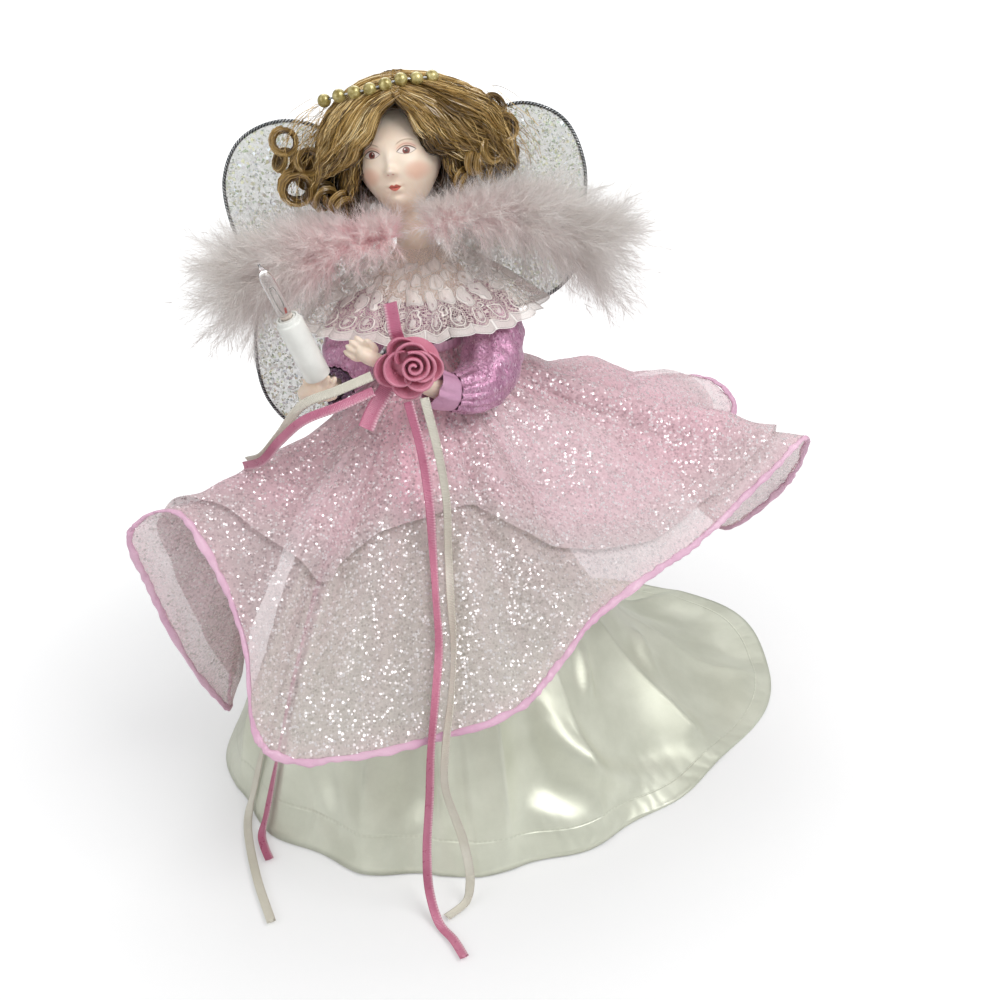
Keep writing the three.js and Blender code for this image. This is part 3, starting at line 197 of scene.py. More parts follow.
class Value:
    """A number socket of a material, with the operators that its maths needs."""

    def __init__(self, paint: "Paint", socket: bpy.types.NodeSocket) -> None:
        """Hold a socket of a material."""
        self.paint = paint
        self.socket = socket

    def _math(self, operation: str, other: Any = None, flip: bool = False) -> "Value":
        """Add a Math node on this value.

        Args:
            operation: The node's operation.
            other: A number or value, where it takes two.
            flip: Whether the other comes first.

        Returns:
            The result.
        """
        pair = [self] if other is None else [other, self] if flip else [self, other]
        node = self.paint.add("ShaderNodeMath", {"operation": operation}, dict(enumerate(pair)))
        return Value(self.paint, node.outputs[0])

    def __add__(self, other: Any) -> "Value":
        """Add."""
        return self._math("ADD", other)

    __radd__ = __add__

    def __sub__(self, other: Any) -> "Value":
        """Take away."""
        return self._math("SUBTRACT", other)

    def __rsub__(self, other: Any) -> "Value":
        """Take this from another."""
        return self._math("SUBTRACT", other, True)

    def __mul__(self, other: Any) -> "Value":
        """Multiply."""
        return self._math("MULTIPLY", other)

    __rmul__ = __mul__

    def __truediv__(self, other: Any) -> "Value":
        """Divide."""
        return self._math("DIVIDE", other)

    def __pow__(self, other: Any) -> "Value":
        """Raise to a power."""
        return self._math("POWER", other)

    def __abs__(self) -> "Value":
        """Drop the sign."""
        return self._math("ABSOLUTE")

    def least(self, other: Any) -> "Value":
        """Take the smaller of two."""
        return self._math("MINIMUM", other)

    def most(self, other: Any) -> "Value":
        """Take the larger of two."""
        return self._math("MAXIMUM", other)

    def sine(self) -> "Value":
        """Take the sine."""
        return self._math("SINE")

    def part(self) -> "Value":
        """Keep what is after the point."""
        return self._math("FRACT")

    def whole(self) -> "Value":
        """Keep what is before the point."""
        return self._math("FLOOR")

    def root(self) -> "Value":
        """Take the square root."""
        return self._math("SQRT")

    def rise(self, low: float, high: float, to: float = 1.0, start: float = 0.0) -> "Value":
        """Rise smoothly between two levels.

        Args:
            low: Level at which the rise starts.
            high: Level at which it ends.
            to: Value after the rise.
            start: Value before the rise.

        Returns:
            The result.
        """
        limits = {"Value": self, "From Min": low, "From Max": high, "To Min": start, "To Max": to}
        node = self.paint.add("ShaderNodeMapRange", {"interpolation_type": "SMOOTHSTEP"}, limits)
        return Value(self.paint, node.outputs[0])


class Paint:
    """A node material in the making."""

    def __init__(self, name: str, constants: dict[str, Any]) -> None:
        """Start a material.

        Args:
            name: Name of the material.
            constants: Sockets of the shader that are the same all over.
        """
        self.material = bpy.data.materials.new(name)
        self.material.use_nodes = True
        self.tree = self.material.node_tree
        self.tree.nodes.clear()
        self.shader = self.add("ShaderNodeBsdfPrincipled", {}, constants)
        self.output = self.add("ShaderNodeOutputMaterial", {}, {"Surface": self.shader.outputs[0]})

    def add(self, kind: str, settings: dict[str, Any], inputs: dict[Any, Any]) -> bpy.types.Node:
        """Add a node.

        Args:
            kind: Type of the node.
            settings: Its own settings, set first. Stops are those of a colour ramp.
            inputs: Values or links of its sockets, by name or number.

        Returns:
            The node.
        """
        node = self.tree.nodes.new(kind)
        for key, setting in settings.items():
            if key == "stops":
                while len(node.color_ramp.elements) < len(setting):
                    node.color_ramp.elements.new(1.0)
                for element, (place, colour) in zip(node.color_ramp.elements, setting):
                    element.position = place
                    element.color = (*colour, 1)
            else:
                setattr(node, key, setting)
        for key, given in inputs.items():
            socket = node.inputs[key]
            source = given.socket if isinstance(given, Value) else given
            if isinstance(source, bpy.types.NodeSocket):
                self.tree.links.new(source, socket)
            elif socket.type == "RGBA":
                socket.default_value = (*source, 1)
            else:
                socket.default_value = source
        return node

    def feed(self, socket: str, source: Any) -> None:
        """Link a value or colour to a socket of the shader."""
        link = source.socket if isinstance(source, Value) else source
        self.tree.links.new(link, self.shader.inputs[socket])

    def let_through(self, share: float, colour: Colour) -> None:
        """Let a share of the light shine through, in one colour."""
        behind = self.add("ShaderNodeBsdfTranslucent", {}, {"Color": colour})
        mix = self.add("ShaderNodeMixShader", {}, {0: share, 1: self.shader.outputs[0], 2: behind.outputs[0]})
        self.tree.links.new(mix.outputs[0], self.output.inputs["Surface"])

    def place(self, scale: Point = (1, 1, 1)) -> bpy.types.NodeSocket:
        """Give the place on the piece in its own coordinates, stretched by a scale."""
        coords = self.add("ShaderNodeTexCoord", {}, {})
        if scale == (1, 1, 1):
            return coords.outputs["Object"]
        return self.add("ShaderNodeMapping", {},
                        {"Vector": coords.outputs["Object"], "Scale": scale}).outputs[0]

    def chart(self, scale: Point = (1, 1, 1)) -> bpy.types.NodeSocket:
        """Give the place on the surface by its own map, stretched by a scale."""
        coords = self.add("ShaderNodeTexCoord", {}, {})
        return self.add("ShaderNodeMapping", {}, {"Vector": coords.outputs["UV"], "Scale": scale}).outputs[0]

    def split(self, vector: bpy.types.NodeSocket) -> tuple[Value, Value, Value]:
        """Give the three numbers of a vector."""
        node = self.add("ShaderNodeSeparateXYZ", {}, {0: vector})
        return tuple(Value(self, out) for out in node.outputs)

    def tone(self) -> Value:
        """Give the tone that the mesh carries at each point."""
        return Value(self, self.add("ShaderNodeAttribute", {"attribute_name": "tone"}, {}).outputs["Fac"])

    def noise(self, where: bpy.types.NodeSocket, scale: float, detail: float = 3.0) -> Value:
        """Give a cloudy value.

        Args:
            where: Place on the piece.
            scale: Clouds per unit of the place.
            detail: Finer layers.

        Returns:
            Values about a half.
        """
        node = self.add("ShaderNodeTexNoise", {}, {"Vector": where, "Scale": scale, "Detail": detail})
        return Value(self, node.outputs[0])

    def cells(self, where: bpy.types.NodeSocket, scale: float, feature: str = "F1") -> bpy.types.Node:
        """Add cells, with their distance and a random colour each.

        Args:
            where: Place on the piece.
            scale: Cells per unit of the place.
            feature: Which distance is given.

        Returns:
            The node.
        """
        return self.add("ShaderNodeTexVoronoi", {"feature": feature}, {"Vector": where, "Scale": scale})

    def ramp(self, value: Value, stops: Sequence[tuple[float, Colour]]) -> bpy.types.NodeSocket:
        """Turn a value into a colour."""
        return self.add("ShaderNodeValToRGB", {"stops": stops}, {0: value}).outputs[0]

    def mix(self, share: Any, low: Any, high: Any) -> bpy.types.NodeSocket:
        """Mix two colours.

        Args:
            share: Share of the second.
            low: First colour.
            high: Second colour.

        Returns:
            The mixed colour.
        """
        node = self.add("ShaderNodeMix", {"data_type": "RGBA"}, {0: share, 6: low, 7: high})
        return node.outputs[2]

    def bump(self, height: Value, depth: float, strength: float = 1.0,
             under: Any = None) -> bpy.types.NodeSocket:
        """Raise a surface.

        Args:
            height: Height, where 1 is the whole depth.
            depth: Depth in millimetres.
            strength: How strongly it shows.
            under: A normal that it is laid over.

        Returns:
            The raised normal.
        """
        inputs = {"Height": height, "Distance": depth * MM, "Strength": strength}
        if under is not None:
            inputs["Normal"] = under
        return self.add("ShaderNodeBump", {}, inputs).outputs[0]

    def glints(self, colour: bpy.types.NodeSocket, tilt: float) -> bpy.types.NodeSocket:
        """Turn each cell of a glittering surface a little its own way.

        Args:
            colour: Random colour of the cells.
            tilt: How far they turn.

        Returns:
            The turned normal.
        """
        middle = self.add("ShaderNodeVectorMath", {"operation": "SUBTRACT"}, {0: colour, 1: (0.5, 0.5, 0.5)})
        short = self.add("ShaderNodeVectorMath", {"operation": "SCALE"},
                         {0: middle.outputs[0], "Scale": tilt})
        normal = self.add("ShaderNodeNewGeometry", {}, {}).outputs["Normal"]
        whole = self.add("ShaderNodeVectorMath", {"operation": "ADD"}, {0: normal, 1: short.outputs[0]})
        return self.add("ShaderNodeVectorMath", {"operation": "NORMALIZE"}, {0: whole.outputs[0]}).outputs[0]


@dataclass(frozen=True)
class Finish:
    """What a piece looks like. Each kind paints its own material once."""

    name: str

    def paint(self) -> bpy.types.Material:
        """Make the material."""
        raise NotImplementedError

    def material(self) -> bpy.types.Material:
        """Give the material, made on its first use."""
        return bpy.data.materials.get(self.name) or self.paint()


@dataclass(frozen=True)
class Moulded(Finish):
    """Plain stuff with clouds in its colour and a fine grain: plastic, card, wire and wadding."""

    light: Colour
    dark: Colour
    rough: float
    metal: float = 0.0
    cloud: float = 120.0
    grain: float = 2500.0
    depth: float = 0.05
    coat: float = 0.0

    def paint(self) -> bpy.types.Material:
        """Make the material."""
        paint = Paint(self.name, {"Metallic": self.metal, "Coat Weight": self.coat})
        where = paint.place()
        cloud = paint.noise(where, self.cloud, 4)
        grain = paint.noise(where, self.grain, 2)
        paint.feed("Base Color", paint.mix(cloud.rise(0.35, 0.65), self.dark, self.light))
        paint.feed("Roughness", self.rough * 0.8 + grain * (self.rough * 0.4))
        paint.feed("Normal", paint.bump(grain + cloud * 0.5, self.depth))
        return paint.material


@dataclass(frozen=True)
class Bisque(Finish):
    """Unglazed porcelain, with painted eyes, brows, lips and blush on the head's own chart."""

    face: bool = False
    skin: Colour = tint(246, 229, 210)
    warm: Colour = tint(236, 204, 178)
    blush: Colour = tint(224, 158, 130)
    lips: Colour = tint(196, 78, 62)
    iris: Colour = tint(128, 66, 54)
    ink: Colour = tint(70, 40, 34)
    white: Colour = tint(240, 226, 216)

    def paint(self) -> bpy.types.Material:
        """Make the material."""
        constants = {"Subsurface Weight": 0.12, "Subsurface Radius": (0.004, 0.002, 0.001),
                     "Coat Weight": 0.08}
        paint = Paint(self.name, constants)
        where = paint.place()
        cloud = paint.noise(where, 90, 3)
        grain = paint.noise(where, 3000, 2)
        colour = paint.mix(cloud.rise(0.3, 0.75) * 0.45, self.skin, self.warm)
        if self.face:
            colour = self._features(paint, colour)
        paint.feed("Base Color", colour)
        paint.feed("Roughness", 0.38 + grain * 0.14)
        paint.feed("Normal", paint.bump(grain, 0.03))
        return paint.material

    def _features(self, paint: Paint, colour: bpy.types.NodeSocket) -> bpy.types.NodeSocket:
        """Paint a face over the skin.

        Args:
            paint: The material.
            colour: Colour of the skin.

        Returns:
            The painted colour.
        """
        across, up, _ = paint.split(paint.chart())
        side = abs(across)

        def over(mask: Value, top: Colour) -> bpy.types.NodeSocket:
            """Lay a colour over what is there."""
            return paint.mix(mask, colour, top)

        cheek = ((side - 9.0) / 4.6) ** 2 + ((up + 6.4) / 3.8) ** 2
        colour = over(cheek.rise(0.0, 1.3, 0.0, 0.5), self.blush)
        x = side - 6.5
        y = up - 1.1
        open_up = 1.55 - x * x * 0.145
        open_down = x * x * 0.105 - 1.1
        inside = (open_up - y).rise(-0.05, 0.12) * (y - open_down).rise(-0.05, 0.12)
        socket = ((x / 4.2) ** 2 + ((y - 1.2) / 2.2) ** 2).rise(0.2, 1.2, 0.0, 0.3)
        colour = over(socket, self.blush)
        colour = over(inside, self.white)
        ring = (x * x + y * y).root()
        colour = over(inside * ring.rise(1.18, 1.42, 0.0, 1.0), self.iris)
        colour = over(inside * ring.rise(0.5, 0.72, 0.0, 0.95), self.ink)
        glint = ((x + 0.45) * (x + 0.45) + (y - 0.5) * (y - 0.5)).root()
        colour = over(inside * glint.rise(0.18, 0.34, 0.0, 0.9), self.white)
        reach = abs(x).rise(2.9, 3.7, 0.0, 1.0)
        lid = abs(y - open_up - 0.1).rise(0.1, 0.34, 0.0, 1.0) * reach
        colour = over(lid * 0.85, self.ink)
        crease = abs(y - open_up - 0.95).rise(0.06, 0.3, 0.0, 1.0) * reach
        colour = over(crease * 0.4, self.lips)
        lower = abs(y - open_down + 0.06).rise(0.05, 0.24, 0.0, 1.0) * reach
        colour = over(lower * 0.45, self.ink)
        arch = 5.0 - (side - 6.9) * (side - 6.9) * 0.1
        brow = abs(up - arch).rise(0.05, 0.42, 0.0, 1.0) * abs(side - 6.4).rise(2.2, 3.7, 0.0, 1.0)
        colour = over(brow * 0.55, tint(150, 112, 84))
        bow = -10.1 + abs(side - 0.85).rise(0.0, 1.9, -0.95, 0.0)
        pout = -12.7 + side * side * 0.26
        mouth = (bow - up).rise(-0.1, 0.3) * (up - pout).rise(-0.1, 0.4)
        colour = over(mouth * 0.9, self.lips)
        parting = abs(up + 11.35 - side * side * 0.05).rise(0.02, 0.22, 0.0, 1.0)
        parting = parting * side.rise(1.9, 2.8, 0.0, 1.0)
        colour = over(parting * 0.5, self.ink)
        nostril = (((side - 0.95) / 0.5) ** 2 + ((up + 6.55) / 0.3) ** 2).rise(0.3, 1.3, 0.0, 0.5)
        return over(nostril, self.lips)


@dataclass(frozen=True)
class Fibre(Finish):
    """Fine strands whose tone runs through a ramp of colours: hair and feather barbs."""

    stops: tuple[tuple[float, Colour], ...]
    rough: float
    sheen: float = 0.0
    shine: float = 0.5
    veil: float = 0.0
    glow: Colour = tint(255, 255, 255)

    def paint(self) -> bpy.types.Material:
        """Make the material."""
        paint = Paint(self.name, {"Sheen Weight": self.sheen, "Specular IOR Level": self.shine})
        cloud = paint.noise(paint.place(), 260, 2)
        tone = paint.tone() * 0.86 + cloud * 0.14
        paint.feed("Base Color", paint.ramp(tone, self.stops))
        paint.feed("Roughness", self.rough * 0.75 + cloud * (self.rough * 0.5))
        if self.veil > 0:
            paint.let_through(self.veil, self.glow)
        return paint.material


@dataclass(frozen=True)
class Pearl(Finish):
    """Gold pearl lacquer on beads."""

    light: Colour = tint(214, 200, 136)
    dark: Colour = tint(150, 132, 66)

    def paint(self) -> bpy.types.Material:
        """Make the material."""
        paint = Paint(self.name, {"Coat Weight": 0.7, "Coat Roughness": 0.08})
        where = paint.place()
        cloud = paint.noise(where, 420, 3)
        fleck = paint.noise(where, 2600, 2)
        paint.feed("Base Color", paint.mix(cloud.rise(0.35, 0.65), self.dark, self.light))
        paint.feed("Metallic", 0.2 + fleck * 0.25)
        paint.feed("Roughness", 0.2 + fleck * 0.22)
        paint.feed("Normal", paint.bump(fleck, 0.03))
        return paint.material


@dataclass(frozen=True)
class Satin(Finish):
    """Glossy woven satin: ribs across a ribbon with a picot edge, or a skirt with a stitched hem."""

    light: Colour
    dark: Colour
    rough: float = 0.3
    ribs: float = 0.0
    edge: float = 0.0
    stitch: float = 0.0
    crease: float = 0.3
    metal: float = 0.0
    grain: float = 0.0
    picot: Colour = tint(214, 204, 190)

    def paint(self) -> bpy.types.Material:
        """Make the material."""
        paint = Paint(self.name,
                      {"Specular IOR Level": 0.7, "Metallic": self.metal, "Anisotropic": self.grain})
        where = paint.place()
        across, along, _ = paint.split(paint.chart())
        cloud = paint.noise(where, 40, 2)
        thread = paint.noise(paint.place((1, 1, 0.06)), 5200, 1)
        fine = paint.noise(where, 420, 3)
        share = cloud.rise(0.3, 0.7) * 0.55 + fine * 0.25 + thread * 0.2
        colour = paint.mix(share, self.dark, self.light)
        height = fine * self.crease + thread * 0.01
        if self.ribs:
            rib = (along * (2 * math.pi * self.ribs)).sine()
            height = height + rib * 0.12
            edge = abs(across - 0.5).rise(0.5 - self.edge, 0.5)
            dot = (along * (2 * math.pi * 0.9)).sine().rise(-0.6, 0.2)
            colour = paint.mix(edge * (dot * 0.5 + 0.35), colour, self.picot)
            height = height + edge * dot * 0.5
        if self.stitch:
            seam = abs(along - self.stitch).rise(0.1, 0.5, 0.0, 1.0)
            dash = (across * (2 * math.pi / 2.4)).sine().rise(-0.5, 0.1)
            pucker = (across * (2 * math.pi / 8.0) + cloud * 26.0).sine()
            near = along.rise(self.stitch * 0.7, self.stitch + 9, 0.0, 1.0)
            colour = paint.mix(seam * dash * 0.35, colour, self.dark)
            height = height + pucker * near * 0.18 - seam * 0.3
        paint.feed("Base Color", colour)
        paint.feed("Roughness", self.rough * 0.85 + fine * (self.rough * 0.35))
        paint.feed("Normal", paint.bump(height, 0.4))
        return paint.material


@dataclass(frozen=True)
class Organza(Finish):
    """Sheer crisp weave with fine glitter painted as glints and shade, denser and pinker towards the waist.
    """

    pink: Colour = tint(246, 194, 208)
    pale: Colour = tint(206, 198, 194)
    # Colour of the painted shade on the dark glitter specks.
    shade: Colour = tint(150, 132, 138)
    thin: float = 0.58
    thick: float = 0.86

    def paint(self) -> bpy.types.Material:
        """Make the material."""
        paint = Paint(self.name, {"Specular IOR Level": 0.6, "Sheen Weight": 0.15})
        where = paint.place()
        tone = paint.tone()
        cloud = paint.noise(where, 40, 3)
        speck = paint.cells(where, 1000)
        red, green, _ = paint.split(speck.outputs["Color"])
        spot = Value(paint, speck.outputs["Distance"]).rise(0.35, 0.7, 0.0, 1.0)
        # sparkle: glitter specks painted near white as glints, also made glossier and a little metallic.
        sparkle = red.rise(0.7, 0.78) * spot
        # fleck: glitter specks painted darker, toward the shade colour, as the shade of specks turned from
        # the light.
        fleck = green.rise(0.55, 0.75) * spot
        weave = paint.noise(paint.place((1, 1, 0.15)), 3600, 1)
        colour = paint.mix(tone.least(1.0), self.pale, self.pink)
        colour = paint.mix(fleck * 0.3, colour, self.shade)
        colour = paint.mix(sparkle * 0.7, colour, tint(255, 251, 252))
        cover = self.thin + tone * (self.thick - self.thin) + (cloud - 0.5) * 0.2 + (weave - 0.5) * 0.14
        paint.feed("Base Color", colour)
        paint.feed("Alpha", (cover + sparkle * 0.3 - fleck * 0.1).least(1.0))
        paint.feed("Roughness", 0.5 - sparkle * 0.28 + green * 0.08)
        paint.feed("Metallic", sparkle * 0.35)
        paint.feed("Normal", paint.glints(speck.outputs["Color"], 0.8))
        return paint.material


@dataclass(frozen=True)
class Lame(Finish):
    """Cloth woven with flat metal thread, whose specks shine each its own way, some with a pale painted
    highlight.
    """

    light: Colour
    dark: Colour
    scale: float = 2300.0
    metal: float = 0.4

    def paint(self) -> bpy.types.Material:
        """Make the material."""
        paint = Paint(self.name, {"Sheen Weight": 0.2})
        where = paint.place()
        speck = paint.cells(paint.place((1, 1, 0.45)), self.scale)
        red, green, _ = paint.split(speck.outputs["Color"])
        cloud = paint.noise(where, 130, 3)
        share = red * 0.5 + cloud.rise(0.3, 0.7) * 0.5
        colour = paint.mix(share, self.dark, self.light)
        # Pale specks painted over the cloth as highlights on the metal thread.
        colour = paint.mix(green.rise(0.84, 0.96) * 0.5, colour, tint(240, 216, 232))
        fine = paint.noise(where, 300, 4)
        paint.feed("Base Color", colour)
        paint.feed("Metallic", self.metal * 0.6 + green * (self.metal * 0.6))
        paint.feed("Roughness", 0.26 + red * 0.26)
        paint.feed("Normal", paint.bump(fine, 0.5, 0.7, paint.glints(speck.outputs["Color"], 0.4)))
        return paint.material


@dataclass(frozen=True)
class Film(Finish):
    """Crackled silver film on a mesh, with specks of changing colour, painted pale as glints."""

    light: Colour = tint(188, 192, 183)
    dark: Colour = tint(142, 146, 140)

    def paint(self) -> bpy.types.Material:
        """Make the material."""
        paint = Paint(self.name, {"Specular IOR Level": 0.7})
        where = paint.place((1, 0.2, 1))
        speck = paint.cells(where, 980)
        red, green, blue = paint.split(speck.outputs["Color"])
        cloud = paint.noise(where, 60, 3)
        # Bright specks are painted in these pale, near-white tints as glints, and also made glossier, more
        # metallic and denser.
        hue = paint.ramp(blue, ((0.0, tint(222, 246, 226)), (0.35, tint(250, 250, 214)),
                                (0.7, tint(248, 244, 248)), (1.0, tint(226, 238, 246))))
        base = paint.mix(red * 0.6 + cloud * 0.4, self.dark, self.light)
        spark = green.rise(0.66, 0.8)
        colour = paint.mix(spark, base, hue)
        cover = 0.52 + red * 0.2 + spark * 0.4
        paint.feed("Base Color", colour)
        paint.feed("Metallic", spark * 0.3)
        paint.feed("Roughness", 0.42 - spark * 0.2)
        paint.feed("Alpha", cover.least(1.0))
        paint.feed("Normal", paint.glints(speck.outputs["Color"], 0.6))
        return paint.material


@dataclass(frozen=True)
class Lace(Finish):
    """Machine lace: a fine net, filled petals with an eyelet, and raised outlines, one group to a scallop."""

    thread: Colour = tint(255, 251, 247)
    shade: Colour = tint(242, 228, 220)
    pitch: float = 10.4
    petals: tuple[tuple[float, float, float, float, float], ...] = (
        (-5.2, 16.6, 3.6, 3.4, 0.5),
        (4.8, 18.4, 4.6, 3.6, -0.6),
        (-0.4, 24.6, 4.4, 2.9, 0.3),
        (8.8, 26.0, 4.0, 2.6, -0.4),
        (-7.2, 30.4, 5.2, 2.6, -0.3),
        (3.2, 33.0, 5.6, 2.6, 0.25),
    )
    rings: tuple[tuple[float, float, float], ...] = ((-4.9, 8.3, 3.1), (5.4, 8.2, 3.3), (0.2, 11.6, 1.7))
    scallop: float = 4.3

    def paint(self) -> bpy.types.Material:
        """Make the material."""
        paint = Paint(self.name, {"Sheen Weight": 0.2})
        drawn, high, _ = paint.split(paint.chart())
        pull = paint.noise(paint.chart(), 0.09, 1) - 0.5
        slip = paint.noise(paint.chart((1, 1.7, 1)), 0.12, 1) - 0.5
        loose = high.rise(5.0, 12.0)
        across = drawn + pull * loose * 9.0
        up = high + slip * loose * 8.0
        x = (across / self.pitch / 2).part() * (2 * self.pitch) - self.pitch
        step = (drawn / self.pitch).part() - 0.5
        top = self.scallop - 1.1 + step * step * 4.4
        fill = (up - top).rise(-0.15, 0.15, 0.0, 1.0)
        rim = abs(up - top - 0.2).rise(0.2, 0.5, 0.0, 1.0).most(up.rise(0.3, 0.6, 0.0, 1.0))
        rim = rim.most(abs(step).rise(0.46, 0.49) * fill)
        eyelet = None
        for where_x, where_y, size in self.rings:
            dx = x - where_x
            dy = up - where_y
            away = (dx * dx + dy * dy).root()
            rim = rim.most(abs(away - size).rise(0.2, 0.42, 0.0, 1.0))
            fill = fill.most((away - abs(dx + dy) * 0.25).rise(size * 0.28, size * 0.36, 0.0, 1.0))
        for where_x, where_y, half_wide, half_long, turn in self.petals:
            dx = x - where_x
            dy = up - where_y
            u = dx * math.cos(turn) + dy * math.sin(turn)
            v = dy * math.cos(turn) - dx * math.sin(turn)
            ring = ((u / half_wide) * (u / half_wide) + (v / half_long) * (v / half_long)).root()
            fill = fill.most(ring.rise(0.94, 1.0, 0.0, 1.0))
            rim = rim.most(abs(ring - 1.0).rise(0.06, 0.13, 0.0, 1.0))
            down = v + half_long * 0.25
            hole = ((u / 0.7) * (u / 0.7) + (down / 0.7) * (down / 0.7)).rise(0.7, 1.2, 0.0, 1.0)
            eyelet = hole if eyelet is None else eyelet.most(hole)
        mesh = paint.cells(paint.chart(), 1.1, "DISTANCE_TO_EDGE")
        net = Value(paint, mesh.outputs["Distance"]).rise(0.09, 0.18, 0.0, 1.0)
        dense = paint.cells(paint.chart(), 3.2, "DISTANCE_TO_EDGE")
        cloth = Value(paint, dense.outputs["Distance"]).rise(0.1, 0.3, 0.8, 1.0)
        body = (fill * (1.0 - eyelet)) * cloth * 0.8
        cover = body.most(rim).most(net * 0.7)
        paint.feed("Base Color", paint.mix(body * 0.6 + rim * 0.4, self.shade, self.thread))
        paint.feed("Alpha", cover)
        paint.feed("Roughness", 0.75 - rim * 0.15)
        paint.feed("Normal", paint.bump(rim + body * 0.4 + net * 0.2, 0.5))
        return paint.material


@dataclass(frozen=True)
class Glass(Finish):
    """Clear lamp glass, a little uneven."""

    def paint(self) -> bpy.types.Material:
        """Make the material."""
        paint = Paint(self.name, {"Transmission Weight": 1.0, "IOR": 1.45, "Base Color": (1.0, 1.0, 1.0)})
        fine = paint.noise(paint.place(), 300, 2)
        paint.feed("Roughness", fine * 0.03)
        paint.feed("Normal", paint.bump(fine, 0.05))
        return paint.material


class Finishes:
    """Every finish on the figure."""

    card = Moulded("stiff_card", tint(216, 206, 184), tint(196, 182, 156), 0.9, depth=0.12)
    wadding = Moulded("wadding", tint(238, 234, 226), tint(218, 212, 202), 0.95, cloud=300, grain=1400,
                      depth=0.5)
    bisque = Bisque("bisque")
    face = Bisque("painted_bisque", True)
    hair = Fibre("golden_hair", ((0.0, tint(44, 29, 10)), (0.3, tint(94, 68, 29)), (0.6, tint(160, 126, 66)),
                                 (0.85, tint(224, 190, 122)), (1.0, tint(255, 240, 196))), 0.3, shine=0.9)
    pearl = Pearl("gold_pearl_lacquer")
    lace = Lace("ivory_lace")
    down = Fibre("marabou",
                 ((0.0, tint(248, 168, 182)), (0.25, tint(251, 202, 211)), (0.5, tint(249, 234, 235)),
                  (0.75, tint(224, 222, 219)), (1.0, tint(196, 196, 193))),
                 0.9, shine=0.1, veil=0.5, glow=tint(246, 240, 237))
    lame = Lame("mauve_metal_cloth", tint(212, 160, 190), tint(154, 98, 130))
    cuff = Lame("dark_metal_cloth", tint(150, 122, 150), tint(70, 40, 66), 2300.0)
    lining = Satin("mauve_lining", tint(216, 166, 194), tint(164, 108, 146), 0.4, crease=0.9)
    hem = Satin("pink_rolled_hem", tint(238, 200, 218), tint(214, 160, 190), 0.42, crease=0.9)
    organza = Organza("glitter_organza")
    glitter = Fibre("glitter_flakes",
                    ((0.0, tint(202, 176, 186)), (0.5, tint(222, 204, 210)), (0.75, tint(236, 226, 230)),
                     (1.0, tint(252, 247, 247))), 0.36, shine=0.7)
    film_glitter = Fibre("film_flakes",
                         ((0.0, tint(150, 154, 146)), (0.4, tint(236, 244, 214)), (0.7, tint(255, 255, 250)),
                          (1.0, tint(216, 240, 226))), 0.25, shine=0.9)
    satin = Satin("ivory_satin_cloth", tint(234, 236, 219), tint(204, 206, 187), 0.4, stitch=8.5, crease=0.0,
                  metal=0.34, grain=0.4)
    ivory_ribbon = Satin("ivory_ribbon_satin", tint(240, 236, 222), tint(206, 200, 182), 0.3, 1.6, 0.12)
    pink_ribbon = Satin("pink_ribbon_satin", tint(220, 136, 164), tint(168, 82, 112), 0.28, 1.6, 0.14,
                        picot=tint(244, 208, 216))
    rose = Satin("rose_ribbon_satin", tint(236, 160, 180), tint(196, 108, 134), 0.3, 1.6, 0.06,
                 picot=tint(240, 172, 190))
    wire = Moulded("soft_wire", tint(176, 172, 166), tint(132, 128, 124), 0.35, 0.9, grain=4000)
    silver = Moulded("silver_thread", tint(206, 208, 208), tint(150, 154, 156), 0.28, 0.85, grain=4000)
    black = Moulded("dark_thread", tint(62, 64, 70), tint(26, 28, 32), 0.5, 0.2, grain=4000)
    film = Film("wing_film_silver")
    plastic = Moulded("white_plastic_gloss", tint(240, 240, 234), tint(228, 228, 222), 0.34, depth=0.02,
                      coat=0.15)
    lamp_base = Moulded("pale_lamp_base", tint(226, 216, 206), tint(206, 190, 178), 0.4, depth=0.02)
    red_sleeve = Moulded("red_lead_sleeve", tint(196, 70, 56), tint(160, 50, 40), 0.4, depth=0.02)
    glass = Glass("clear_lamp_glass")


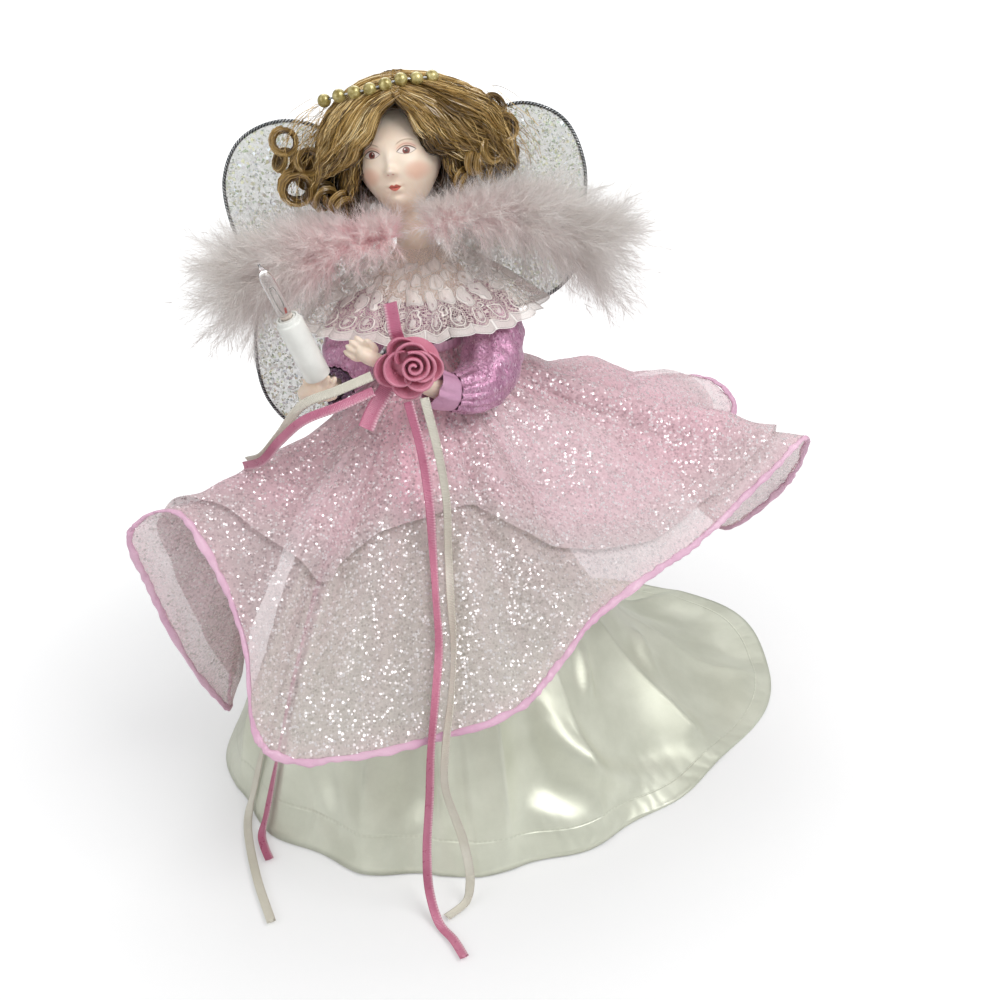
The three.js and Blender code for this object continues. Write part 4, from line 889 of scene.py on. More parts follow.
class Cloth:
    """Points and faces of one piece, gathered part by part, with a chart of the surface and a tone."""

    def __init__(self, name: str) -> None:
        """Start an empty piece."""
        self.name = name
        self.points: list[Array] = []
        self.faces: list[Array] = []
        self.charts: list[Array] = []
        self.tones: list[Array] = []
        self.count = 0

    def _keep(self, points: Array, faces: Array, chart: Array, tone: Array) -> None:
        """Add points, faces by corner, the chart of each corner and the tone of each point."""
        self.points.append(points)
        self.faces.append(faces + self.count)
        self.charts.append(chart)
        self.tones.append(tone)
        self.count += len(points)

    def grid(self, grid: Array, around: bool = False, across: Array | None = None, along: Array | None = None,
             tone: Array | None = None) -> "Cloth":
        """Add a surface on rows and columns of points.

        Args:
            grid: Rows by columns by three.
            around: Whether the columns close into a ring.
            across: Chart of the columns, with one more where they close.
            along: Chart of the rows.
            tone: Tone of each point, rows by columns.

        Returns:
            This piece.
        """
        rows, columns = grid.shape[:2]
        spans = columns if around else columns - 1
        across = np.linspace(0, 1, spans + 1) if across is None else across
        along = np.linspace(0, 1, rows) if along is None else along
        i, j = np.meshgrid(np.arange(rows - 1), np.arange(spans), indexing="ij")
        after = (j + 1) % columns
        faces = np.stack([i * columns + j, (i + 1) * columns + j, (i + 1) * columns + after,
                          i * columns + after], -1)
        chart = np.stack([
            np.stack([across[j], across[j], across[j + 1], across[j + 1]], -1),
            np.stack([along[i], along[i + 1], along[i + 1], along[i]], -1),
        ], -1)
        tones = np.zeros(rows * columns) if tone is None else np.asarray(tone, float).ravel()
        self._keep(grid.reshape(-1, 3), faces.reshape(-1, 4), chart.reshape(-1, 4, 2), tones)
        return self

    def rod(self, rings: Array, along: Array | None = None) -> "Cloth":
        """Add a closed rod on rings of points, with its ends drawn in.

        Args:
            rings: Rings by points by three.
            along: Chart of the rings.

        Returns:
            This piece.
        """
        ends = [np.repeat(ring.mean(0, keepdims=True), len(ring), 0)[None] for ring in (rings[0], rings[-1])]
        along = np.linspace(0, 1, len(rings)) if along is None else along
        chart = np.concatenate([[along[0]], along, [along[-1]]])
        return self.grid(np.concatenate([ends[0], rings, ends[1]]), True, along=chart)

    def strands(self, lines: Array, width: Array, tone: Array, rng: np.random.Generator,
                sides: int = 3) -> "Cloth":
        """Add many fine strands.

        Args:
            lines: Strands by points by three.
            width: Half a strand's width, strands by points.
            tone: Tone, strands by points.
            rng: Source of each strand's turn.
            sides: Two for a flat strip, three for a thread.

        Returns:
            This piece.
        """
        count, steps = lines.shape[:2]
        ahead = tangents(lines)
        start = rng.normal(size=(count, 1, 3))
        first = unit(np.cross(ahead, start))
        second = np.cross(ahead, first)
        angles = np.arange(sides) * (2 * math.pi / sides)
        ring = first[:, :, None] * np.cos(angles)[:, None] + second[:, :, None] * np.sin(angles)[:, None]
        points = lines[:, :, None] + ring * width[:, :, None, None]
        spans = 1 if sides == 2 else sides
        n, i, j = np.meshgrid(np.arange(count), np.arange(steps - 1), np.arange(spans), indexing="ij")
        base = (n * steps + i) * sides
        after = (j + 1) % sides
        faces = np.stack([base + j, base + sides + j, base + sides + after, base + after], -1)
        chart = np.zeros((*faces.shape, 2))
        chart[..., 1] = (i / (steps - 1))[..., None]
        self._keep(points.reshape(-1, 3), faces.reshape(-1, 4), chart.reshape(-1, 4, 2),
                   np.repeat(tone.reshape(-1), sides))
        return self

    def make(self, finish: Finish) -> bpy.types.Object:
        """Turn what was gathered into an object.

        Args:
            finish: What it looks like.

        Returns:
            The object.
        """
        points = np.concatenate(self.points) * MM
        faces = np.concatenate(self.faces).astype(np.int32)
        mesh = bpy.data.meshes.new(self.name)
        mesh.vertices.add(len(points))
        mesh.vertices.foreach_set("co", points.astype(np.float32).ravel())
        mesh.loops.add(faces.size)
        mesh.loops.foreach_set("vertex_index", faces.ravel())
        mesh.polygons.add(len(faces))
        mesh.polygons.foreach_set("loop_start", np.arange(0, faces.size, 4, dtype=np.int32))
        mesh.polygons.foreach_set("use_smooth", np.ones(len(faces), bool))
        chart = mesh.uv_layers.new(name="chart")
        chart.data.foreach_set("uv", np.concatenate(self.charts).astype(np.float32).ravel())
        mesh.update(calc_edges=True)
        tone = mesh.attributes.new("tone", "FLOAT", "POINT")
        tone.data.foreach_set("value", np.concatenate(self.tones).astype(np.float32))
        mesh.validate()
        piece = bpy.data.objects.new(self.name, mesh)
        bpy.context.scene.collection.objects.link(piece)
        mesh.materials.append(finish.material())
        return piece


def settle(piece: bpy.types.Object, body: str, slot: str, *nodes: str) -> bpy.types.Object:
    """Put a finished piece on its body, in place of its nodes.

    Args:
        piece: The piece.
        body: Body that it moves with.
        slot: Not used.
        nodes: Nodes that it stands for.

    Returns:
        The piece.
    """
    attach(piece, body)
    if nodes:
        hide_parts(*nodes)
    LOG.info("%s: %d faces on %s", piece.name, len(piece.data.polygons), body)
    return piece


class Bench:
    """The modelling operators, used as by hand."""

    @staticmethod
    def clear() -> None:
        """Leave edit mode and select nothing."""
        if bpy.context.object and bpy.context.object.mode != "OBJECT":
            bpy.ops.object.mode_set(mode="OBJECT")
        bpy.ops.object.select_all(action="DESELECT")

    @staticmethod
    def active(name: str) -> bpy.types.Object:
        """Name the active object and its mesh, and give it."""
        piece = bpy.context.object
        piece.name = name
        piece.data.name = name
        return piece

    @classmethod
    def turned(cls, name: str, profile: Sequence[tuple[float, float]], place: Matrix, finish: Finish,
               sides: int = 48, bevel: float = 0.15) -> bpy.types.Object:
        """Turn a round piece from a circle that is drawn up ring by ring.

        Args:
            name: Name of the piece.
            profile: Radius and height of each ring. A radius of 0 closes the piece.
            place: Where its own Z axis goes.
            finish: What it looks like.
            sides: Corners of each ring.
            bevel: Rounding of its edges.

        Returns:
            The object.
        """
        cls.clear()
        radius, height = profile[0]
        bpy.ops.mesh.primitive_circle_add(vertices=sides, radius=max(radius, 0.01) * MM,
                                          location=(0, 0, height * MM))
        piece = cls.active(name)
        bpy.ops.object.transform_apply(location=True, rotation=False, scale=False)
        bpy.ops.object.mode_set(mode="EDIT")
        bpy.ops.mesh.select_all(action="SELECT")
        for (before, low), (after, high) in zip(profile, profile[1:]):
            bpy.ops.mesh.extrude_region_move(TRANSFORM_OT_translate={"value": (0, 0, (high - low) * MM)})
            share = max(after, 0.01) / max(before, 0.01)
            bpy.ops.transform.resize(value=(share, share, 1))
        bpy.ops.mesh.select_all(action="SELECT")
        bpy.ops.mesh.remove_doubles(threshold=0.03 * MM)
        bpy.ops.mesh.normals_make_consistent(inside=False)
        bpy.ops.object.mode_set(mode="OBJECT")
        if bevel:
            cls.finish(piece, "BEVEL", width=bevel * MM, segments=3, limit_method="ANGLE", angle_limit=0.6)
        bpy.ops.object.shade_smooth_by_angle(angle=0.7)
        piece.data.transform(place)
        piece.data.materials.clear()
        piece.data.materials.append(finish.material())
        return piece

    @classmethod
    def finish(cls, piece: bpy.types.Object, kind: str, **settings: Any) -> None:
        """Apply a modifier.

        Args:
            piece: The piece.
            kind: Type of the modifier.
            settings: Its settings.
        """
        cls.clear()
        piece.select_set(True)
        bpy.context.view_layer.objects.active = piece
        modifier = piece.modifiers.new(kind.lower(), kind)
        for key, setting in settings.items():
            setattr(modifier, key, setting)
        bpy.ops.object.modifier_apply(modifier=modifier.name)

    @classmethod
    def lumps(cls, name: str, balls: Sequence[tuple[Point, Point, Point]], voxel: float,
              smooth: int, finish: Finish) -> bpy.types.Object:
        """Grow several egg shapes into one smooth form.

        Args:
            name: Name of the piece.
            balls: Centre, radii and long direction of each.
            voxel: Size of the blocks that join them.
            smooth: Rounds of smoothing.
            finish: What it looks like.

        Returns:
            The object.
        """
        parts = []
        for centre, radii, way in balls:
            cls.clear()
            bpy.ops.mesh.primitive_uv_sphere_add(segments=24, ring_count=16, radius=MM)
            part = bpy.context.object
            turn = Vector(way).to_track_quat("Z", "Y").to_matrix().to_4x4()
            grow = Matrix.Diagonal((*radii, 1))
            part.data.transform(Matrix.Translation(Vector(centre) * MM) @ turn @ grow)
            parts.append(part)
        cls.clear()
        for part in parts:
            part.select_set(True)
        bpy.context.view_layer.objects.active = parts[0]
        bpy.ops.object.join()
        piece = cls.active(name)
        cls.finish(piece, "REMESH", mode="VOXEL", voxel_size=voxel * MM)
        cls.finish(piece, "SMOOTH", factor=0.5, iterations=smooth)
        bpy.ops.object.shade_smooth()
        piece.data.materials.clear()
        piece.data.materials.append(finish.material())
        return piece


@dataclass
class Studio:
    """Camera at the photograph's place, white surroundings, a pale floor and soft lamps."""

    eye: Point = (0.0, -502.4, 360.0)
    nod: float = 26.41
    turn: float = 2.88
    roll: float = 4.23
    lens: float = 46.8
    lamps: tuple[tuple[Point, float, float], ...] = (
        ((520.0, -520.0, 900.0), 600.0, 6.5),
        ((-700.0, -500.0, 650.0), 800.0, 2.4),
        ((0.0, 600.0, 900.0), 700.0, 3.0),
    )

    def build(self) -> None:
        """Make all of it."""
        self._camera()
        self._world()
        self._floor()
        for number, (spot, size, power) in enumerate(self.lamps):
            self._lamp(number, spot, size, power)
        bpy.context.scene.view_settings.view_transform = "Standard"
        bpy.context.scene.cycles.transparent_max_bounces = 32

    def _camera(self) -> None:
        """Make the camera."""
        nod, turn, roll = (math.radians(angle) for angle in (self.nod, self.turn, self.roll))
        ahead = Vector((math.sin(turn) * math.cos(nod), math.cos(turn) * math.cos(nod), -math.sin(nod)))
        right = ahead.cross(Vector((0, 0, 1))).normalized()
        up = right.cross(ahead)
        x_axis = math.cos(roll) * right - math.sin(roll) * up
        y_axis = math.sin(roll) * right + math.cos(roll) * up
        data = bpy.data.cameras.new("camera")
        data.lens = self.lens
        data.sensor_width = 36.0
        data.clip_start = 0.01
        camera = bpy.data.objects.new("camera", data)
        bpy.context.scene.collection.objects.link(camera)
        camera.matrix_world = Matrix.Translation(Vector(self.eye) * MM) @ Matrix(
            (x_axis, y_axis, -ahead)).transposed().to_4x4()
        bpy.context.scene.camera = camera

    def _world(self) -> None:
        """Light from all round, seen as white by the camera and through glass."""
        world = bpy.data.worlds.new("surroundings")
        world.use_nodes = True
        tree = world.node_tree
        tree.nodes.clear()
        path = tree.nodes.new("ShaderNodeLightPath")
        either = tree.nodes.new("ShaderNodeMath")
        either.operation = "MAXIMUM"
        tree.links.new(path.outputs["Is Camera Ray"], either.inputs[0])
        tree.links.new(path.outputs["Is Transmission Ray"], either.inputs[1])
        light, shown = tree.nodes.new("ShaderNodeBackground"), tree.nodes.new("ShaderNodeBackground")
        light.inputs["Color"].default_value = (0.96, 0.98, 1.0, 1)
        light.inputs["Strength"].default_value = 0.4
        shown.inputs["Strength"].default_value = 1.0
        shown.inputs["Color"].default_value = (1, 1, 1, 1)
        mix = tree.nodes.new("ShaderNodeMixShader")
        tree.links.new(either.outputs[0], mix.inputs[0])
        tree.links.new(light.outputs[0], mix.inputs[1])
        tree.links.new(shown.outputs[0], mix.inputs[2])
        output = tree.nodes.new("ShaderNodeOutputWorld")
        tree.links.new(mix.outputs[0], output.inputs[0])
        bpy.context.scene.world = world

    def _floor(self) -> None:
        """A wide pale floor that keeps a soft shadow."""
        Bench.clear()
        bpy.ops.mesh.primitive_plane_add(size=12.0, location=(0, 0, -0.0003))
        floor = Bench.active("floor")
        material = bpy.data.materials.new("pale_floor")
        material.use_nodes = True
        tree = material.node_tree
        tree.nodes.clear()
        matte = tree.nodes.new("ShaderNodeBsdfDiffuse")
        matte.inputs["Color"].default_value = (0.86, 0.86, 0.86, 1)
        glow = tree.nodes.new("ShaderNodeEmission")
        glow.inputs["Strength"].default_value = 1.3
        path = tree.nodes.new("ShaderNodeLightPath")
        coords = tree.nodes.new("ShaderNodeTexCoord")
        far = tree.nodes.new("ShaderNodeVectorMath")
        far.operation = "LENGTH"
        tree.links.new(coords.outputs["Object"], far.inputs[0])
        fade = tree.nodes.new("ShaderNodeMapRange")
        for name, value in (("From Min", 0.12), ("From Max", 0.45), ("To Min", 0.22), ("To Max", 1.0)):
            fade.inputs[name].default_value = value
        tree.links.new(far.outputs["Value"], fade.inputs["Value"])
        share = tree.nodes.new("ShaderNodeMath")
        share.operation = "MULTIPLY"
        tree.links.new(path.outputs["Is Camera Ray"], share.inputs[0])
        tree.links.new(fade.outputs[0], share.inputs[1])
        mix = tree.nodes.new("ShaderNodeMixShader")
        tree.links.new(share.outputs[0], mix.inputs[0])
        tree.links.new(matte.outputs[0], mix.inputs[1])
        tree.links.new(glow.outputs[0], mix.inputs[2])
        output = tree.nodes.new("ShaderNodeOutputMaterial")
        tree.links.new(mix.outputs[0], output.inputs[0])
        floor.data.materials.append(material)

    def _lamp(self, number: int, spot: Point, size: float, power: float) -> None:
        """Make a large soft lamp that looks at the figure's waist.

        Args:
            number: Number of the lamp.
            spot: Where it stands.
            size: Its width.
            power: Its power in watts.
        """
        data = bpy.data.lights.new(f"lamp_{number}", "AREA")
        data.size = size * MM
        data.energy = power
        lamp = bpy.data.objects.new(f"lamp_{number}", data)
        bpy.context.scene.collection.objects.link(lamp)
        lamp.location = Vector(spot) * MM
        lamp.rotation_euler = (Vector((0, 0, 0.16)) - lamp.location).to_track_quat("-Z", "Y").to_euler()


def strew(name: str, grid: Array, count: int, size: float, finish: Finish) -> bpy.types.Object:
    """Strew glitter flakes over a closed sheet, each turned its own way.

    Args:
        name: Name of the piece.
        grid: The sheet's points, rows by columns.
        count: How many flakes.
        size: About half a flake's side.
        finish: What they look like.

    Returns:
        The flakes.
    """
    rng = np.random.default_rng(SEED + count)
    rows, columns = grid.shape[:2]
    down = rng.random(count) ** 0.6 * (rows - 1.001)
    across = rng.random(count) * columns
    i, j = down.astype(int), across.astype(int) % columns
    a, b = (down - i)[:, None], (across % 1)[:, None]
    after = (j + 1) % columns
    spot = ((grid[i, j] * (1 - b) + grid[i, after] * b) * (1 - a)
            + (grid[i + 1, j] * (1 - b) + grid[i + 1, after] * b) * a)
    way = unit(rng.normal(size=(count, 3))) * rng.uniform(0.7, 1.3, (count, 1)) * size
    lines = np.stack([spot - way, spot + way], 1)
    width = np.repeat(rng.uniform(0.7, 1.2, (count, 1)) * size, 2, 1)
    tone = np.repeat(rng.random((count, 1)), 2, 1)
    return Cloth(name).strands(lines, width, tone, rng, 2).make(finish)


class RibbonColour(Enum):
    """The two satin ribbons, each with its finish and its slot."""

    PINK = "pink_satin"
    IVORY = "ivory_satin"

    def finish(self) -> Finish:
        """Give the finish of this ribbon."""
        return Finishes.pink_ribbon if self is RibbonColour.PINK else Finishes.ivory_ribbon


@dataclass
class RibbonRun:
    """One loose ribbon tail: its route, which way its face looks, and its real length."""

    node: str
    colour: RibbonColour
    length: float
    route: tuple[Point, ...]
    face: Point = (-0.12, -1.0, 0.45)
    far_end: str = "bare"
    roll: float = 0.0


@dataclass
class Ribbons:
    """The six ribbon tails, which are flat limp cords."""

    width: float = 3.5
    thick: float = 0.3
    steps: int = 170
    runs: tuple[RibbonRun, ...] = (
        RibbonRun("front_ribbon_pink", RibbonColour.PINK, 0.229, (
            (-8.5, -61.3, 183.9), (-5.5, -63.5, 165), (-4.5, -66, 145), (-5, -71.5, 125.5), (-5.5, -83, 113),
            (-6, -95, 100), (-9, -108, 86.5), (-12.5, -121.5, 72), (-14.5, -123.5, 55), (-18, -124.5, 28),
            (-18.5, -125, 9), (-16, -133, 1.7), (-11, -142, 1.5), (-7.5, -151, 1.5)), roll=0.75),
        RibbonRun("front_ribbon_ivory", RibbonColour.IVORY, 0.218, (
            (-2.5, -61.3, 184.9), (0.5, -63.5, 165), (2, -66, 145), (0.8, -72, 125.5), (0, -84, 112.5),
            (-0.5, -95.5, 100), (-3, -108, 87), (-7, -121.5, 73), (-8.5, -123.5, 58), (-4, -123.5, 32),
            (-3, -121, 9), (-5, -123, 1.8), (-9, -127, 1.5), (-13, -130, 1.5)), roll=-0.8),
        RibbonRun("hand_ribbon_pink", RibbonColour.PINK, 0.079, (
            (-20.5, -62, 189.5), (-33, -66, 186.5), (-46, -66, 182.5), (-57, -58.5, 172), (-66, -49, 160.5),
            (-75, -36.5, 153.6)), far_end="object"),
        RibbonRun("hand_ribbon_ivory", RibbonColour.IVORY, 0.080, (
            (-20.5, -61, 195), (-33, -64.5, 192), (-46, -63.5, 187.5), (-57, -56, 173.4), (-66, -46.4, 161.5),
            (-73.5, -35, 155)), far_end="object"),
        RibbonRun("tail_ribbon_pink", RibbonColour.PINK, 0.196, (
            (-23.3, -20.3, 160), (-35.1, -28.4, 140), (-53.1, -43, 100), (-61.1, -49.5, 80), (-73, -59.1, 46),
            (-84.5, -68.4, 10), (-87.4, -72, 1.8), (-85.8, -79.5, 1.5), (-83.2, -87, 1.5)),
            (-0.88, -0.42, 0.55)),
        RibbonRun("tail_ribbon_ivory", RibbonColour.IVORY, 0.257, (
            (-20.6, -11.9, 168), (-37.5, -21.7, 140), (-57.2, -33.1, 100), (-65.8, -38, 80),
            (-78.8, -45.5, 46), (-91.2, -52.7, 10), (-94.2, -57, 1.8), (-93.6, -68, 1.5), (-87.5, -97, 1.5),
            (-79.8, -122.4, 1.5)), (-0.88, -0.42, 0.55)),
    )

    def build(self) -> None:
        """Make every ribbon."""
        for number, run in enumerate(self.runs):
            line = evenly(through(run.route, np.linspace(0, 1, 600)), self.steps)
            rings, along = self.rings(line, run.face, number, roll=run.roll)
            piece = Cloth(run.node + "_satin").rod(rings, along).make(run.colour.finish())
            settle(piece, "root", run.colour.value, run.node)

    def rings(self, line: Array, face: Point, seed: int, width: float | None = None,
              roll: float = 0.0) -> tuple[Array, Array]:
        """Lay a flat section along a line.

        Args:
            line: Middle of the ribbon.
            face: Which way it looks. On the floor it looks up.
            seed: Which of the small twists it has.
            width: Width, where it isn't the usual one.
            roll: How far it turns on its way, most halfway.

        Returns:
            The rings, and how far along each is.
        """
        half = (width or self.width) / 2
        ahead = tangents(line)
        lying = ease(line[:, 2], 2, 14)[:, None]
        way = unit(np.asarray(face) * lying + np.array([0, 0, 1.0]) * (1 - lying))
        side = unit(np.cross(ahead, way))
        out = np.cross(side, ahead)
        halfway = np.sin(np.pi * np.linspace(0, 1, len(line)) ** 0.8) ** 2
        twist = (0.28 * ripple(line, 60, seed + 5) + roll * halfway)[:, None] * lying
        side, out = side * np.cos(twist) + out * np.sin(twist), out * np.cos(twist) - side * np.sin(twist)
        share = np.linspace(-1, 1, 9)
        curl = 0.28 * (share**2 - 0.5) * half / 2.3
        upper = np.stack([share * half, curl + self.thick / 2], 1)
        lower = np.stack([share[::-1] * half, curl[::-1] - self.thick / 2], 1)
        section = np.concatenate([upper, lower])
        rings = (line[:, None] + side[:, None] * section[:, :1] + out[:, None] * section[:, 1:])
        along = np.concatenate([[0], np.cumsum(np.linalg.norm(np.diff(line, axis=0), axis=1))])
        return rings, along


@dataclass
class Skirts:
    """The satin underskirt, two layers of organza over it, and the rolled hem."""

    top: float = 187.0
    fall: float = 6.0
    satin_radius: float = 12.0
    lower_radius: float = 13.4
    upper_radius: float = 14.8
    reach: float = 108.0
    train: float = 50.0
    train_angle: float = 112.0
    train_spread: float = 44.0
    folds: int = 13
    fold_depth: float = 1.6
    bell: float = 0.62
    bell_angle: float = 322.0
    bell_spread: float = 75.0
    columns: int = 640
    flakes_long: int = 30000
    flakes_short: int = 20000
    flake: float = 0.14
    creases: tuple[tuple[tuple[Point, ...], float, float], ...] = (
        (((33, -68, 57), (35, -74, 46), (40, -78, 35), (53, -79, 21), (71, -73, 11), (100, -58, 3)),
         6.5, 6.5),
        (((54, -39, 62), (55, -50, 51), (55, -60, 41)), 4.5, 5.0),
        (((80, -2, 40), (85, -8, 33), (92, -23, 23)), 5.0, 5.5),
        (((-65, -70, 35), (-59, -83, 17), (-37, -101, 2)), 5.0, 6.0),
        (((-35, -99, 8), (-22, -98, 18), (-8, -97, 24)), 4.0, 5.5),
        (((20, -95, 21), (47, -95, 5)), 4.5, 6.0),
        (((0, -86, 50), (-3, -99, 21)), 3.0, 5.5),
    )
    hem: tuple[tuple[float, ...], ...] = (
        (0, -8.6, -115, 74.6, 1), (12, 21.5, -110, 80.6, 1), (24, 36, -101, 90, 0), (36, 51, -90, 101.4, -2),
        (48, 73.3, -72, 105.9, -3), (60, 97, -52, 107.9, -3), (68, 112, -41, 113, -3),
        (76, 135, -30, 126.9, -4), (84, 152, -18, 134.6, -5), (91, 154, 0, 111, -2), (97, 145, 10, 92, 2),
        (102, 127, 24, 74, 6), (106, 124, 36, 95, 2), (110, 138, 45, 125, -3), (116, 132, 55, 133, -5),
        (122, 117.7, 65, 134, -5), (130, 99.8, 72, 129.8, -5), (145, 70, 88, 110, -2),
        (165, 30, 106, 118, -2), (185, -12, 108, 122, -2), (205, -50, 92, 95, 0), (225, -78, 66, 70, 2),
        (250, -99, 28, 44, 5), (270, -103, -6, 31, 9), (282, -101, -22, 33, 8), (290, -110, -38, 69, 2),
        (296, -117.5, -46, 112, -5), (301, -119, -52, 136, -10), (305, -110, -53, 144.5, -12),
        (310, -99, -55, 145.5, -11), (316, -87, -67, 130, -8), (324, -76, -92, 109, -4),
        (332, -74.8, -108, 78, 0), (338, -66, -112, 70, 1), (348, -40, -115, 70, 1),
    )

    @staticmethod
    def toward(degrees: Array) -> Array:
        """Give the direction out from the axis at an angle from the front."""
        a = np.radians(degrees)
        return np.stack([np.sin(a), -np.cos(a), np.zeros_like(a)], -1)

    def build(self) -> None:
        """Make the satin, both layers of organza and the hem."""
        self._underskirt()
        hem = self._rolled_hem()
        self._tiers()

    def _underskirt(self) -> None:
        """Make the satin underskirt."""
        columns, rows = 460, 86
        u = np.linspace(0, 360, columns, endpoint=False)
        shares = np.linspace(0, 1, rows)
        degrees, s = np.meshgrid(u, shares)
        off = (degrees - self.train_angle + 540) % 360 - 180
        train = np.exp(-((off / self.train_spread) ** 2))
        a = np.radians(degrees)
        fold = np.cos(self.folds * a + 1.2 * np.sin(2 * a))
        reach = self.reach + self.train * train + s * s * self.fold_depth * fold
        front = (degrees - self.bell_angle + 540) % 360 - 180
        bell = self.bell * np.exp(-((front / self.bell_spread) ** 2))
        sweep = 1.6 + 0.9 * train
        high = (self.top - self.fall) * (bell * (1 - s**2.4) + (1 - bell) * (1 - s) ** sweep)
        crease = train * 5 * np.maximum(0, fold) * np.sin(np.pi * s) * s
        grid = self.toward(degrees) * (self.satin_radius + (reach - self.satin_radius) * s)[..., None]
        grid[..., 2] = high + crease + 0.4
        normal = outward(grid, True)
        drift = 1.3 * np.sin(2 * a + 0.6) + 0.5 * np.sin(5 * a)
        crest = 1 - 2 * np.abs(np.sin(7.5 * a + drift + 0.9 * s)) ** 0.85
        wave = 4.4 * crest * ease(s, 0.2, 0.75)
        wave += ripple(np.stack([a * 40, s * 30], -1), 26, 8) * 2.0
        wave += ripple(np.stack([grid[..., 0], grid[..., 1], grid[..., 2] * 0.4], -1), 60, 3) * 1.6
        wave *= 1 - 0.85 * np.exp(-(((degrees - 304) / 10) ** 2))
        for points, tall, wide in self.creases:
            line = through(points, np.linspace(0, 1, 24))
            gaps = np.linalg.norm(grid[..., None, :] - line, axis=-1)
            far = gaps.min(-1)
            fade = np.sin(np.pi * (gaps.argmin(-1) + 0.5) / len(line))
            wave += tall * fade * (np.exp(-((far / wide) ** 2)) - 0.5 * np.exp(-((far / wide / 2.4) ** 2)))
        lift = ease(s, 0.12, 0.5) * (1 - 0.88 * ease(s, 0.84, 1.0))
        grid = grid + normal * (wave * lift)[..., None]
        grid[..., 2] = np.maximum(grid[..., 2], 0.4)
        collar = self.toward(u)[None] * self.satin_radius
        collar[..., 2] = self.top
        grid = np.concatenate([collar, grid])
        lengths = np.linspace(0, 1, rows + 1)[::-1] * 150
        piece = Cloth("underskirt_satin").grid(grid, True, np.linspace(0, 780, columns + 1), lengths)
        skirt = piece.make(Finishes.satin)
        Bench.finish(skirt, "SOLIDIFY", thickness=0.5 * MM, offset=0.0)
        settle(skirt, "root", "ivory_satin", "underskirt")

    def _turns(self, u: Array) -> tuple[Array, Array]:
        """Give the waist angle and the swell at shares of the way round the hem."""
        rows = np.asarray(self.hem)
        last = len(rows) - 1
        at = u * len(rows)
        knots = np.stack([rows[:, 0], rows[:, 4], np.arange(len(rows))], 1)
        inner = through(knots, np.minimum(at / last, 1))
        t = np.clip(at - last, 0, 1)
        angle = np.where(at <= last, inner[:, 0], rows[last, 0] * (1 - t) + 360 * t)
        swell = np.where(at <= last, inner[:, 1], rows[last, 4] * (1 - t) + rows[0, 4] * t)
        return angle, swell

    def _lower(self, u: Array, shares: Array) -> Array:
        """Give the long layer's middle surface.

        Args:
            u: Shares of the way round the hem.
            shares: Shares of the way down, rows by columns.

        Returns:
            Rows by columns of points.
        """
        angle, swell = self._turns(u)
        top = self.toward(angle) * self.lower_radius
        top[:, 2] = self.top - self.fall
        edge = through([row[1:4] for row in self.hem], u, True)
        along = edge - top
        run = np.hypot(along[:, 0], along[:, 1])
        normal = unit(np.stack([-along[:, 2] * along[:, 0] / run, -along[:, 2] * along[:, 1] / run, run], 1))
        s = shares[..., None]
        lift = (swell[None] * 4 * shares * (1 - shares))[..., None]
        return top[None] + along[None] * s + normal[None] * lift

    def _tiers(self) -> None:
        """Make the long and the short layer of organza.
        """
        u = np.arange(self.columns) / self.columns
        angle, _ = self._turns(u)
        rows = np.linspace(0, 1, 84)[:, None] * np.ones((1, self.columns))
        lower = self._crumpled(self._lower(u, rows), u, rows, 21)
        collar = self.toward(angle)[None] * self.lower_radius
        collar[..., 2] = self.top
        tone = self._tones(rows, u, 0.02)
        grid = np.concatenate([collar, lower])
        piece = Cloth("overskirt_long_organza").grid(grid, True, tone=np.concatenate([tone[:1], tone]))
        long_layer = piece.make(Finishes.organza)
        settle(long_layer, "root", "pink_organza", "overskirt_lower_tier")
        settle(strew("overskirt_long_glitter", lower, self.flakes_long, self.flake, Finishes.glitter),
               "root", "pink_organza")
        turn = np.abs((angle + 180) % 360 - 180)
        reach = 0.44 + 0.48 * ease(turn, 8, 58)
        shares = np.linspace(0, 1, 72)[:, None]
        down = shares * reach[None]
        base = self._crumpled(self._lower(u, down), u, down, 21)
        over = 1.1 + 1.7 * np.minimum(1, 4 * shares) + 0.5 * ripple(base, 30, 40) * ease(shares, 0.1, 0.4)
        upper = base + outward(base, True) * over[..., None]
        upper[0] = self.toward(angle) * self.upper_radius
        upper[0, :, 2] = self.top - self.fall + 1.1
        collar = self.toward(angle)[None] * self.upper_radius
        collar[..., 2] = self.top
        streak = 0.75 + 0.25 * np.sin(upper[..., 0] * 1.3 + 0.6 * np.sin(upper[..., 2] * 0.2))
        gather = np.exp(-(((upper[..., 0] + 9) / 9) ** 2)) * (upper[..., 1] < 0) * streak
        tone = np.clip(self._tones(down, u, 0.4) + 0.5 * gather * ease(down, 0.02, 0.12), 0, 1)
        tone = tone - 0.3 * ease(shares, 0.8, 1.0)
        piece = Cloth("overskirt_short_organza").grid(
            np.concatenate([collar, upper]), True, tone=np.concatenate([tone[:1], tone]))
        short_layer = piece.make(Finishes.organza)
        settle(short_layer, "root", "pink_organza", "overskirt_upper_tier")
        settle(strew("overskirt_short_glitter", upper, self.flakes_short, self.flake, Finishes.glitter),
               "root", "pink_organza")

